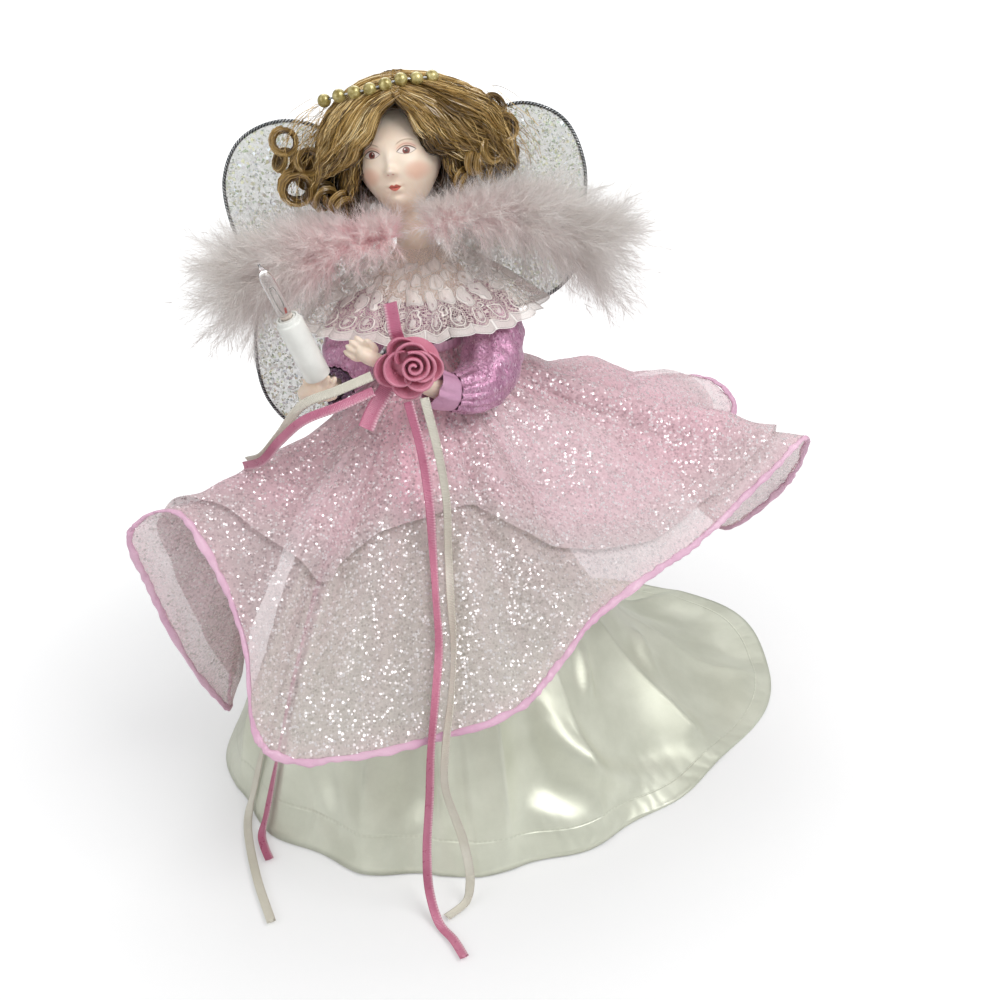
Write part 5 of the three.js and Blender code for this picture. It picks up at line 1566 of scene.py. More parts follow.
    @staticmethod
    def _tones(shares: Array, u: Array, least: float) -> Array:
        """Say how dense and pink the organza is, most at the waist.

        Args:
            shares: Shares of the way down, rows by columns.
            u: Shares of the way round.
            least: Tone far from the waist.

        Returns:
            Tones, rows by columns.
        """
        gather = 0.16 * np.sin(2 * np.pi * (u * 46 + 0.4 * np.sin(u * 40)))[None] * np.exp(-shares * 2.2)
        sides = 0.28 * (1 - np.exp(-(((u[None] + 0.5) % 1 - 0.5) / 0.13) ** 2)) * ease(shares, 0.2, 0.8)
        edge = 0.18 * ease(shares, 0.93, 1.0)
        return np.clip(least + (0.85 - least) * np.exp(-shares * 2.6) + gather + sides + edge, 0, 1)

    @staticmethod
    def _crumpled(grid: Array, u: Array, shares: Array, seed: int) -> Array:
        """Gather organza at the waist and crumple it a little below.

        Args:
            grid: Points, rows by columns.
            u: Shares of the way round.
            shares: Shares of the way down, rows by columns.
            seed: Which of the patterns.

        Returns:
            Moved points.
        """
        phase = u * 2 * np.pi * 44 + 1.6 * np.sin(u * 2 * np.pi * 9) + 1.1 * np.sin(u * 2 * np.pi * 5)
        gather = 0.9 * np.sin(phase)[None] * ease(shares, 0.0, 0.12) * (1 - ease(shares, 0.12, 0.6))
        slow = u * 2 * np.pi * 15 + 1.5 * np.sin(u * 2 * np.pi * 4)
        pleat = 2.1 * np.sin(slow)[None] * ease(shares, 0.08, 0.4) * (1 - 0.6 * ease(shares, 0.6, 1.0))
        soft = ripple(grid, 44, seed) * 1.5 + ripple(grid, 17, seed + 1) * 0.5
        calm = ease(shares, 0.15, 0.5) * (1 - 0.7 * ease(shares, 0.9, 1.0))
        lane = 1 - 0.75 * np.exp(-(((grid[..., 0] + 5) / 13) ** 2)) * (grid[..., 1] < 0)
        return grid + outward(grid, True) * ((gather + pleat + soft * calm) * lane)[..., None]

    def _rolled_hem(self) -> bpy.types.Object:
        """Make the rolled, wired hem of the long layer.

        Returns:
            The hem.
        """
        count = 1500
        u = np.arange(count) / count
        edge = self._lower(u, np.ones((1, count)))[0]
        inner = self._lower(u, np.full((1, count), 0.98))[0]
        down = unit(edge - inner)
        ahead = unit(np.roll(edge, -1, 0) - np.roll(edge, 1, 0))
        out = np.cross(ahead, down)
        angles = circle(14)
        turn = np.arange(count) / count * 2 * np.pi
        chance = through(np.random.default_rng(SEED + 3).normal(0, 1, (240, 3)), u, True)
        pucker = 1 + 0.12 * np.sin(turn * 150 + 3 * np.sin(turn * 23)) + 0.14 * np.clip(chance[:, 0], -2, 2)
        middle = edge + down * (0.9 + 0.15 * chance[:, 1:2]) + out * (0.2 * chance[:, 2:])
        wide = (1.5 * pucker)[:, None, None]
        thin = (0.85 * (2 - pucker))[:, None, None]
        rings = (middle[:, None] + down[:, None] * np.cos(angles)[:, None] * wide
                 + out[:, None] * np.sin(angles)[:, None] * thin)
        piece = Cloth("overskirt_rolled_hem").grid(
            np.concatenate([rings, rings[:1]]), True, along=np.linspace(0, 1100, count + 1))
        hem = piece.make(Finishes.hem)
        Bench.clear()
        hem.select_set(True)
        bpy.context.view_layer.objects.active = hem
        bpy.ops.object.mode_set(mode="EDIT")
        bpy.ops.mesh.select_all(action="SELECT")
        bpy.ops.mesh.remove_doubles(threshold=0.01 * MM)
        bpy.ops.mesh.normals_make_consistent(inside=False)
        bpy.ops.object.mode_set(mode="OBJECT")
        return settle(hem, "root", "pink_hem", "lower_tier_hem")


@dataclass
class Body:
    """The stuffed torso, the bodice, the waistband and the casing at the back."""

    rows: tuple[tuple[float, float, float], ...] = (
        (180.6, 9.6, 9.6), (189.0, 9.8, 9.8), (201.0, 13.8, 10.3), (206.0, 13.0, 9.6), (212.0, 10.0, 7.0),
        (216.0, 5.5, 4.6), (218.5, 1.5, 1.4))
    sides: int = 96
    bodice_foot: float = 181.2
    bodice_top: float = 205.6
    bodice_room: float = 0.85
    band_sides: int = 240
    band_radius: float = 16.2
    band_thick: float = 0.62
    band_middle: float = 187.3
    band_half: float = 1.9

    def build(self) -> None:
        """Make the four pieces."""
        angles = circle(self.sides)
        rows = through(self.rows, np.linspace(0, 1, 40))
        ring = np.stack([np.cos(angles), np.sin(angles), np.zeros(self.sides)], 1)
        level, upright = np.array([1, 1, 0]), np.array([0, 0, 1.0])
        grid = ring[None] * rows[:, None, [1, 2, 2]] * level + rows[:, None, :1] * upright
        lumps = ripple(grid, 7, 60)[..., None] * 0.12 * ring[None]
        torso = Cloth("torso_stuffing").rod(grid + lumps).make(Finishes.wadding)
        settle(torso, "root", "stuffing", "torso_form")
        kept = (rows[:, 0] > self.bodice_foot) & (rows[:, 0] < self.bodice_top)
        gather = 0.28 * np.sin(22 * angles + 1.4 * np.sin(3 * angles))[None]
        gather = gather * (0.4 + 0.6 * np.linspace(1, 0, kept.sum())[:, None])
        cloth = grid[kept] + ring[None] * (self.bodice_room + gather)[..., None]
        bodice = Cloth("bodice_cloth").grid(cloth, True).make(Finishes.lame)
        Bench.finish(bodice, "SOLIDIFY", thickness=CLOTH_THICKNESS * MM, offset=0.0)
        settle(bodice, "root", "mauve_lame", "bodice")
        self._band()
        self._casing()

    def _band(self) -> None:
        """Make the waistband: a folded ribbon with gathers."""
        many, turn = circle(self.band_sides), circle(16)
        ring = np.stack([np.cos(many), np.sin(many), np.zeros(self.band_sides)], 1)
        swell = 0.16 * np.sin(many * 40 + np.sin(many * 7))
        out = self.band_radius + self.band_thick * np.cos(turn) + swell[:, None]
        high = self.band_middle + self.band_half * np.sin(turn)
        rings = ring[:, None] * out[..., None] + np.array([0, 0, 1.0]) * high[None, :, None]
        piece = Cloth("waistband_ribbon").grid(np.concatenate([rings, rings[:1]]), True,
                                               along=np.linspace(0, 102, self.band_sides + 1))
        settle(piece.make(Finishes.hem), "root", "pink_hem", "waistband")

    def _casing(self) -> None:
        """Make the wings' casing: a block with pressed corners."""
        low, high = (np.array(corner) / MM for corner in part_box("wing_casing"))
        Bench.clear()
        bpy.ops.mesh.primitive_cube_add(size=1)
        casing = Bench.active("wing_casing_cloth")
        size = (high - low) * MM
        casing.data.transform(Matrix.Translation(Vector((high + low) / 2 * MM)) @ Matrix.Diagonal((*size, 1)))
        Bench.clear()
        casing.select_set(True)
        bpy.context.view_layer.objects.active = casing
        bpy.ops.object.mode_set(mode="EDIT")
        bpy.ops.mesh.select_all(action="SELECT")
        bpy.ops.mesh.bevel(offset=1.4 * MM, segments=4, affect="EDGES")
        bpy.ops.mesh.subdivide(number_cuts=2, smoothness=0)
        bpy.ops.object.mode_set(mode="OBJECT")
        bpy.ops.object.shade_smooth()
        casing.data.materials.append(Finishes.hem.material())
        settle(casing, "root", "pink_hem", "wing_casing")


@dataclass
class Head:
    """Porcelain head and shoulder plate, with a painted doll's face."""

    centre: Point = (-3.4, -4.0, 261.0)
    radii: Point = (16.3, 18.2, 21.6)
    turn: float = -0.21
    nod: float = -0.17
    lean: float = -0.11
    bumps: tuple[tuple[float, float, float, float, float], ...] = (
        (0.0, -5.4, 2.0, 1.6, 3.2),
        (0.0, -2.0, 1.6, 3.6, 1.35),
        (1.6, -5.9, 0.9, 0.9, 1.0),
        (6.5, 1.2, 3.4, 2.3, -1.3),
        (6.5, 1.0, 2.3, 1.4, 0.75),
        (7.0, 5.2, 4.0, 1.3, 0.35),
        (8.4, -6.6, 4.6, 4.4, 0.95),
        (0.9, -10.5, 1.5, 0.75, 0.75),
        (0.0, -12.3, 1.7, 0.8, 0.95),
        (0.0, -11.35, 2.4, 0.3, -0.5),
        (0.0, -14.2, 2.6, 0.9, -0.45),
        (0.0, -16.8, 3.4, 2.4, 1.5),
        (2.9, -11.3, 0.7, 0.8, -0.3),
    )

    def frame(self) -> Matrix:
        """Give the head's place, turned, nodding and leaning."""
        turned = (Matrix.Rotation(self.turn, 4, "Z") @ Matrix.Rotation(self.nod, 4, "X")
                  @ Matrix.Rotation(self.lean, 4, "Y"))
        return Matrix.Translation(Vector(self.centre)) @ turned

    def build(self) -> None:
        """Make the head and the plate as one casting."""
        Bench.clear()
        bpy.ops.mesh.primitive_uv_sphere_add(segments=224, ring_count=160, radius=1.0)
        head = Bench.active("porcelain_head")
        mesh = head.data
        co = np.empty(len(mesh.vertices) * 3)
        mesh.vertices.foreach_get("co", co)
        shaped = self.sculpt(co.reshape(-1, 3))
        corner = np.empty(len(mesh.loops), np.int32)
        mesh.loops.foreach_get("vertex_index", corner)
        chart = shaped[:, [0, 2]].copy()
        chart[shaped[:, 1] > -4] += 500
        mesh.uv_layers[0].data.foreach_set("uv", chart[corner].astype(np.float32).ravel())
        place = np.array(self.frame())
        world = shaped @ place[:3, :3].T + place[:3, 3]
        mesh.vertices.foreach_set("co", (world * MM).astype(np.float32).ravel())
        mesh.update()
        bpy.ops.object.shade_smooth()
        mesh.materials.append(Finishes.face.material())
        settle(head, "root", "porcelain", "porcelain_bust")
        self._shoulders()

    def sculpt(self, ball: Array) -> Array:
        """Shape a ball into a doll's head that looks along -Y.

        Args:
            ball: Points of a ball of radius 1.

        Returns:
            Points in millimetres about the head's centre.
        """
        p = ball * np.array(self.radii)
        low = ease(-p[:, 2], 2, 21)
        p[:, 0] *= 1 - 0.19 * low
        front = ease(-p[:, 1], -6, 10)
        p[:, 1] -= low * front * 0.8
        p[:, 1] += low * (1 - front) * -5.0
        flat = ease(p[:, 2], 4, 18) * front
        p[:, 1] += flat * 1.2
        x, z = np.abs(p[:, 0]), p[:, 2]
        face = ease(-p[:, 1], 3, 9)
        for across, up, wide, tall, out in self.bumps:
            p[:, 1] -= face * out * np.exp(-(((x - across) / wide) ** 2) - ((z - up) / tall) ** 2)
        return p

    def _shoulders(self) -> None:
        """Make the neck and the shoulder plate."""
        profile = ((206.0, 18.4, 13.9, 0), (209.0, 18.5, 14.0, 0), (212.0, 18.3, 13.8, 0),
                   (216.0, 16.2, 12.2, 0), (220.0, 12.0, 10.4, 0), (224.0, 8.6, 8.4, 0),
                   (228.0, 7.3, 7.3, 0.04), (236.0, 6.9, 6.9, 0.3), (245.0, 7.0, 7.0, 0.6),
                   (252.0, 6.0, 6.0, 0.8))
        rows = through(profile, np.linspace(0, 1, 60))
        angles = circle(96)
        lean = rows[:, None, 3:] * np.array([self.centre[0], self.centre[1], 0])
        grid = np.stack([np.cos(angles) * rows[:, 1:2], np.sin(angles) * rows[:, 2:3],
                         np.repeat(rows[:, :1], 96, 1)], -1) + lean
        hollow = grid[:1].copy()
        hollow[..., :2] *= 0.86
        roof = hollow.copy()
        roof[..., 2] += 8.0
        roof[..., :2] *= 0.7
        piece = Cloth("porcelain_shoulders").grid(np.concatenate([roof, hollow, grid]), True)
        settle(piece.make(Finishes.bisque), "root", "porcelain", "porcelain_bust")


@dataclass
class Hair:
    """The wig: a cap, hair combed from a middle parting to both sides, and ringlets."""

    head: Head
    fine: float = 0.13
    points: int = 15
    locks: int = 36
    combed: int = 3600
    falling: int = 800
    behind: int = 2600
    right: tuple[tuple[Point, ...], ...] = (
        ((-1.2, -20, 285), (-8.5, -23, 280.5), (-15, -22.8, 271.5), (-21.5, -19.5, 263.5),
         (-30, -15, 259.5), (-38, -11, 256)),
        ((0, -4, 290), (-14, -8, 287.5), (-26, -11, 280), (-33, -11, 268), (-36, -9, 256), (-37, -8, 246)),
        ((1, 9, 288.5), (-12, 11, 286), (-22, 13, 277), (-27, 13, 263), (-28, 12, 250), (-26, 11, 240)),
    )
    right_fall: tuple[tuple[Point, ...], ...] = (
        ((-13, -17.5, 275), (-18.5, -17.5, 265), (-21.5, -15.5, 255), (-22.5, -15, 247), (-20.5, -15, 239)),
        ((-15, -10, 279), (-22, -10, 267), (-26, -9, 255), (-27, -9, 245), (-25, -9, 237)),
        ((-13, 3, 281), (-21, 4, 268), (-25, 5, 254), (-26, 5, 244), (-24, 5, 236)),
    )
    left: tuple[tuple[Point, ...], ...] = (
        ((-3.6, -20, 285), (1.6, -22.8, 280), (5.8, -21.8, 272), (11, -19, 264.5), (20, -16, 261),
         (32, -12.5, 258)),
        ((-3, -4, 290), (12, -9, 287.5), (25, -12, 283), (35, -11, 275), (40, -8, 265), (41, -6, 254)),
        ((-2, 9, 288.5), (12, 11, 286), (23, 13, 277), (29, 13, 264), (31, 12, 250), (28, 11, 240)),
    )
    left_fall: tuple[tuple[Point, ...], ...] = (
        ((8, -17.5, 275), (13, -17, 265), (16.5, -15, 256), (18, -14, 248), (17, -13, 240)),
        ((12, -10, 279), (19, -10, 267), (23, -9, 255), (24, -8, 245), (22, -8, 237)),
        ((12, 3, 281), (20, 4, 268), (24, 5, 254), (25, 5, 244), (23, 5, 236)),
    )
    back: tuple[tuple[Point, ...], ...] = (
        ((-8, 3, 288.5), (-19, 7, 281), (-26, 9.5, 268), (-28, 10.5, 254), (-27, 10.5, 240)),
        ((-3, 8, 289.5), (-3.2, 15.8, 282), (-3.4, 19, 268), (-3.4, 19, 254), (-3.2, 18, 239)),
        ((2, 3, 288.5), (13, 7, 281), (20.5, 9.5, 268), (23, 10.5, 254), (22.5, 10.5, 240)),
    )
    ringlets_right: tuple[tuple[Point, Point, float, float, float], ...] = (
        ((-45, -9, 270), (0.1, -1, 0.15), 5.0, 1.5, 1.5),
        ((-42.5, -12, 253.5), (0.1, -1, -0.1), 6.2, 2.4, 2.6),
        ((-36, -11, 262), (-0.3, -1, 0.5), 5.0, 2.0, 2.2),
        ((-33, -11, 249), (0.3, -1, -0.3), 5.0, 2.0, 2.2),
        ((-46, -4, 262), (-0.6, -0.6, 0.4), 4.6, 2.0, 2.0),
        ((-27, -14, 247), (0.5, -0.8, -0.6), 4.4, 2.0, 2.0),
        ((-38, 2, 257), (-0.3, 0.7, 0.5), 6.0, 2.2, 2.4),
        ((-31, 6, 247), (0.2, 0.8, -0.3), 5.6, 2.2, 2.4),
    )
    ringlets_left: tuple[tuple[Point, Point, float, float, float], ...] = (
        ((36, -9, 268), (0.5, -1, 0.4), 5.2, 1.8, 2.2),
        ((30, -13, 262), (0.7, -0.7, 0.1), 4.8, 2.0, 2.4),
        ((24, -15, 258), (0.9, -0.5, -0.2), 4.4, 2.0, 2.2),
        ((37, -5, 258), (0.4, -1, -0.5), 5.0, 1.8, 2.0),
        ((30, -9, 254), (0.8, -0.6, -0.4), 4.4, 2.0, 2.0),
        ((33, -8, 276), (0.5, -0.7, 0.7), 4.8, 1.6, 2.2),
        ((20, -14, 252), (0.6, -0.8, -0.5), 4.0, 2.0, 2.0),
        ((34, 3, 258), (0.3, 0.7, 0.4), 6.0, 2.2, 2.4),
        ((28, 7, 248), (-0.2, 0.8, -0.3), 5.6, 2.2, 2.4),
    )

    def build(self) -> None:
        """Make the cap, both combed sides and the ringlets."""
        rng = np.random.default_rng(SEED)
        self._cap()
        for side, guides, fall in (("right", self.right, self.right_fall),
                                   ("left", self.left, self.left_fall)):
            piece = Cloth(f"hair_combed_{side}")
            self._comb(piece, guides, self.combed, 0.0, rng)
            # The falling hair is painted darker, as shade under the combed layer.
            self._comb(piece, fall, self.falling, 0.16, rng)
            if side == "left":
                self._comb(piece, self.back, self.behind, 0.0, rng)
            settle(piece.make(Finishes.hair), "root", "hair", "wig_cap")
        for side, ringlets in (("right", self.ringlets_right), ("left", self.ringlets_left)):
            piece = Cloth(f"hair_ringlets_{side}")
            for ringlet in ringlets:
                self._ringlet(piece, ringlet, rng)
            self._wisps(piece, side, rng)
            settle(piece.make(Finishes.hair), "root", "hair", f"wig_curls_{side}")

    def _cap(self) -> None:
        """Make the woven cap that the hair is sewn to, open at the face."""
        Bench.clear()
        bpy.ops.mesh.primitive_uv_sphere_add(segments=64, ring_count=48, radius=1.0)
        cap = Bench.active("wig_cap_weft")
        mesh = cap.data
        co = np.empty(len(mesh.vertices) * 3)
        mesh.vertices.foreach_get("co", co)
        ball = co.reshape(-1, 3)
        place = np.array(self.head.frame())
        p = ball * (np.array(self.head.radii) + 1.0)
        world = p @ place[:3, :3].T + place[:3, 3]
        mesh.vertices.foreach_set("co", (world * MM).astype(np.float32).ravel())
        mesh.update()
        bpy.ops.object.mode_set(mode="EDIT")
        bpy.ops.mesh.select_all(action="DESELECT")
        bpy.ops.object.mode_set(mode="OBJECT")
        hidden = (p[:, 1] < -3) & (p[:, 2] < 15) | (p[:, 2] < -14)
        mesh.vertices.foreach_set("select", hidden)
        bpy.ops.object.mode_set(mode="EDIT")
        bpy.ops.mesh.delete(type="VERT")
        bpy.ops.object.mode_set(mode="OBJECT")
        Bench.finish(cap, "SOLIDIFY", thickness=0.5 * MM, offset=1.0)
        bpy.ops.object.shade_smooth()
        # The cap takes a dark tone, painted as the shade deep under the hair.
        tone = mesh.attributes.new("tone", "FLOAT", "POINT")
        tone.data.foreach_set("value", np.full(len(mesh.vertices), 0.12, np.float32))
        mesh.materials.append(Finishes.hair.material())
        settle(cap, "root", "hair", "wig_cap")

    def _comb(self, piece: Cloth, guides: Sequence[Sequence[Point]], count: int, dark: float,
              rng: np.random.Generator) -> None:
        """Comb hair along three guides, front to back.

        Args:
            piece: Piece that takes the strands.
            guides: Front, middle and back guide.
            count: How many strands.
            dark: Painted shade: how much darker than the rest, for hair lying under the combed layer.
            rng: Source of chance.
        """
        t = np.linspace(0, 1, self.points)
        lines = np.stack([through(guide, t) for guide in guides])
        lock = rng.integers(0, self.locks, count)
        middle = (lock + 0.5) / self.locks
        loose = rng.normal(0, 0.95 / self.locks, count)
        a = np.clip(middle[:, None] + loose[:, None] * (1.5 - 0.8 * t), 0, 1)
        shares = np.stack([(1 - a) * (1 - 2 * a), 4 * a * (1 - a), a * (2 * a - 1)], -1)
        strands = np.einsum("ntg,gtx->ntx", shares, lines)
        out = unit(strands - np.array(self.head.centre))
        deep = rng.random(count) ** 1.3
        heap = np.sin(np.pi * np.clip(t * 1.2, 0, 1)) * 0.6 + 0.4
        strands = strands - out * (deep * 4.2)[:, None, None] * heap[:, None]
        phase = rng.uniform(0, 6.28, self.locks)[lock] + rng.normal(0, 0.4, count)
        length = rng.uniform(1.6, 2.6, self.locks)[lock]
        wave = np.sin(2 * np.pi * length[:, None] * t + phase[:, None]) * (0.35 + 1.9 * t**1.3)
        side = unit(np.cross(tangents(strands), out))
        strands = strands + side * wave[..., None] + out * (0.5 * np.cos(wave * 2))[..., None]
        fray = np.cumsum(rng.normal(0, 0.1, strands.shape), 1)
        strands = strands + fray
        # Tone: random per lock and strand, less the painted shade given as dark; deeper strands are painted
        # darker as shade, and a sine along each strand paints bands of highlight.
        glow = rng.uniform(-0.28, 0.28, self.locks)[lock] + rng.normal(0, 0.15, count) - dark
        tone = np.clip(0.66 - deep[:, None] * 0.42 + glow[:, None] + 0.12 * np.sin(6 * t + phase[:, None]),
                       0, 1)
        taper = self.fine * (1.15 - 0.55 * t**3)
        piece.strands(strands, np.repeat(taper[None], count, 0), tone, rng, 2)

    def _ringlet(self, piece: Cloth, shape: tuple[Point, Point, float, float, float],
                 rng: np.random.Generator) -> None:
        """Wind a ringlet.

        Args:
            piece: Piece that takes the strands.
            shape: Centre, axis, radius, turns and thickness of the ringlet.
            rng: Source of chance.
        """
        centre, axis, radius, turns, thick = shape
        count, steps = 170, 28
        way = unit(np.asarray(axis, float))
        first = unit(np.cross(way, [0.3, 0.2, 1.0]))
        second = np.cross(way, first)
        t = np.linspace(0, 1, steps)
        angle = 2 * np.pi * turns * t + rng.uniform(0, 6.28)
        size = radius * (1 - 0.25 * t)
        advance = (t - 0.5) * radius * 1.5
        ring = first * np.cos(angle)[:, None] + second * np.sin(angle)[:, None]
        line = np.asarray(centre) + ring * size[:, None] + way * advance[:, None]
        polar = rng.uniform(0, 6.28, count)
        far = np.sqrt(rng.random(count)) * thick * 0.5
        across, ahead = np.cos(polar) * far, np.sin(polar) * far
        offset = ring[None] * across[:, None, None] + way * ahead[:, None, None]
        drift = np.cumsum(rng.normal(0, 0.05, (count, steps, 3)), 1)
        strands = line[None] + offset + drift
        # Strands on the outer side of the coil are painted lighter and those on the inner side darker, and
        # one side of each turn lighter: painted light and shade.
        tone = 0.5 + 0.28 * (np.cos(polar) * far / thick * 2)[:, None] + rng.normal(0, 0.1, (count, 1))
        tone = np.clip(tone + 0.1 * np.sin(angle)[None], 0, 1)
        taper = self.fine * (1.1 - 0.5 * t**4)
        piece.strands(strands, np.repeat(taper[None], count, 0), tone, rng, 2)

    def _wisps(self, piece: Cloth, side: str, rng: np.random.Generator) -> None:
        """Add single hairs that stand off.

        Args:
            piece: Piece that takes the strands.
            side: Which side of the head.
            rng: Source of chance.
        """
        count, steps = 190, 14
        sign = -1 if side == "right" else 1
        t = np.linspace(0, 1, steps)
        spread = rng.random(count)
        root = np.stack([sign * (8 + 26 * spread), -13 + 10 * rng.random(count),
                         272 + 12 * rng.random(count)], 1)
        fall = np.stack([sign * rng.uniform(2, 14, count), rng.uniform(-9, 3, count),
                         rng.uniform(-26, -8, count)], 1)
        swing = rng.normal(0, 2.0, (count, 1, 3)) * np.sin(np.pi * t)[None, :, None]
        curl = rng.uniform(0.4, 1.5, count)[:, None] * np.sin(
            t * rng.uniform(7, 15, count)[:, None] + rng.uniform(0, 6, count)[:, None])
        strands = root[:, None] + fall[:, None] * t[:, None] ** 1.2 + swing
        strands[..., 0] += curl * t
        strands[..., 0] += sign * 6 * np.sin(np.pi * t * 0.5)
        tone = np.repeat(np.clip(rng.normal(0.62, 0.15, (count, 1)), 0, 1), steps, 1)
        piece.strands(strands, np.full((count, steps), self.fine * 0.7), tone, rng, 2)


@dataclass
class Beads:
    """Eight gold beads on a thread over the hair."""

    count: int = 8
    radius: float = 2.5
    pitch: float = 5.7

    def build(self) -> None:
        """Make one bead, copy it along the thread, and join them."""
        low, high = (np.array(corner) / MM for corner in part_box("bead_strand"))
        middle = (low[0] + high[0]) / 2
        half = (self.count - 1) / 2 * self.pitch
        end, bow = high[1] - self.radius, high[1] - low[1] - 2 * self.radius
        across = np.linspace(-half, half, self.count)
        spots = [self._spot(middle + x, end - bow * (1 - (x / half) ** 2)) for x in across]
        parts = []
        for k, spot in enumerate(spots):
            ahead = Vector(spots[min(k + 1, self.count - 1)] - spots[max(k - 1, 0)])
            Bench.clear()
            bpy.ops.mesh.primitive_uv_sphere_add(segments=32, ring_count=20, radius=self.radius * MM)
            part = bpy.context.object
            bpy.ops.object.mode_set(mode="EDIT")
            bpy.ops.mesh.select_all(action="DESELECT")
            bpy.ops.object.mode_set(mode="OBJECT")
            poles = [abs(v.co.z) > 0.97 * self.radius * MM for v in part.data.vertices]
            part.data.vertices.foreach_set("select", poles)
            bpy.ops.object.mode_set(mode="EDIT")
            bpy.ops.transform.resize(value=(1, 1, 0.55), center_override=(0, 0, 0))
            bpy.ops.object.mode_set(mode="OBJECT")
            turn = ahead.to_track_quat("Z", "Y").to_matrix().to_4x4()
            part.data.transform(Matrix.Translation(Vector(spot) * MM) @ turn)
            parts.append(part)
        Bench.clear()
        for part in parts:
            part.select_set(True)
        bpy.context.view_layer.objects.active = parts[0]
        bpy.ops.object.join()
        beads = Bench.active("gold_bead_row")
        bpy.ops.object.shade_smooth()
        beads.data.materials.clear()
        beads.data.materials.append(Finishes.pearl.material())
        settle(beads, "root", "gold_pearl", "bead_strand")
        line = through(spots, np.linspace(0, 1, 60))
        thread = Cloth("bead_thread")
        thread.rod(tube(line, np.full(60, 0.4), 8))
        settle(thread.make(Finishes.silver), "root", "gold_pearl")

    @staticmethod
    def _spot(x: float, y: float) -> Array:
        """Give the middle of a bead over the hair at a place."""
        masses = (((-2.0, -1.0, 266.0), (19.7, 21.7, 25.2)), ((0.0, -6.0, 272.0), (35.0, 18.0, 15.0)))
        tops = []
        for (cx, cy, cz), (rx, ry, rz) in masses:
            flat = ((x - cx) / (rx + 2.8)) ** 2 + ((y - cy) / (ry + 2.8)) ** 2
            tops.append(cz + (rz + 2.8) * math.sqrt(max(0.0, 1 - flat)))
        return np.array([x, y, max(tops)])


def tube(line: Array, radius: Array, sides: int) -> Array:
    """Lay round rings along a line.

    Args:
        line: Middle of the tube.
        radius: Radius at each point.
        sides: Points of each ring.

    Returns:
        Rings by points by three.
    """
    ahead = tangents(line)
    first = np.empty_like(line)
    side = unit(np.cross(ahead[0], [0.31, 0.17, 0.93]))
    for k, way in enumerate(ahead):
        side = unit(side - way * (side @ way))
        first[k] = side
    second = np.cross(ahead, first)
    angles = circle(sides)
    ring = first[:, None] * np.cos(angles)[:, None] + second[:, None] * np.sin(angles)[:, None]
    return line[:, None] + ring * radius[:, None, None]


BOA_RIGHT = ((-9, -26, 235), (-26, -25, 232), (-42, -18, 227), (-62, -10, 219))
BOA_LEFT = ((6, -26, 238), (24, -23, 239), (42, -16, 234), (62, -10, 221))
BOA_BACK = ((-44, 0, 230), (-24, 8, 232), (0, 11, 233), (24, 8, 233), (44, 0, 232))


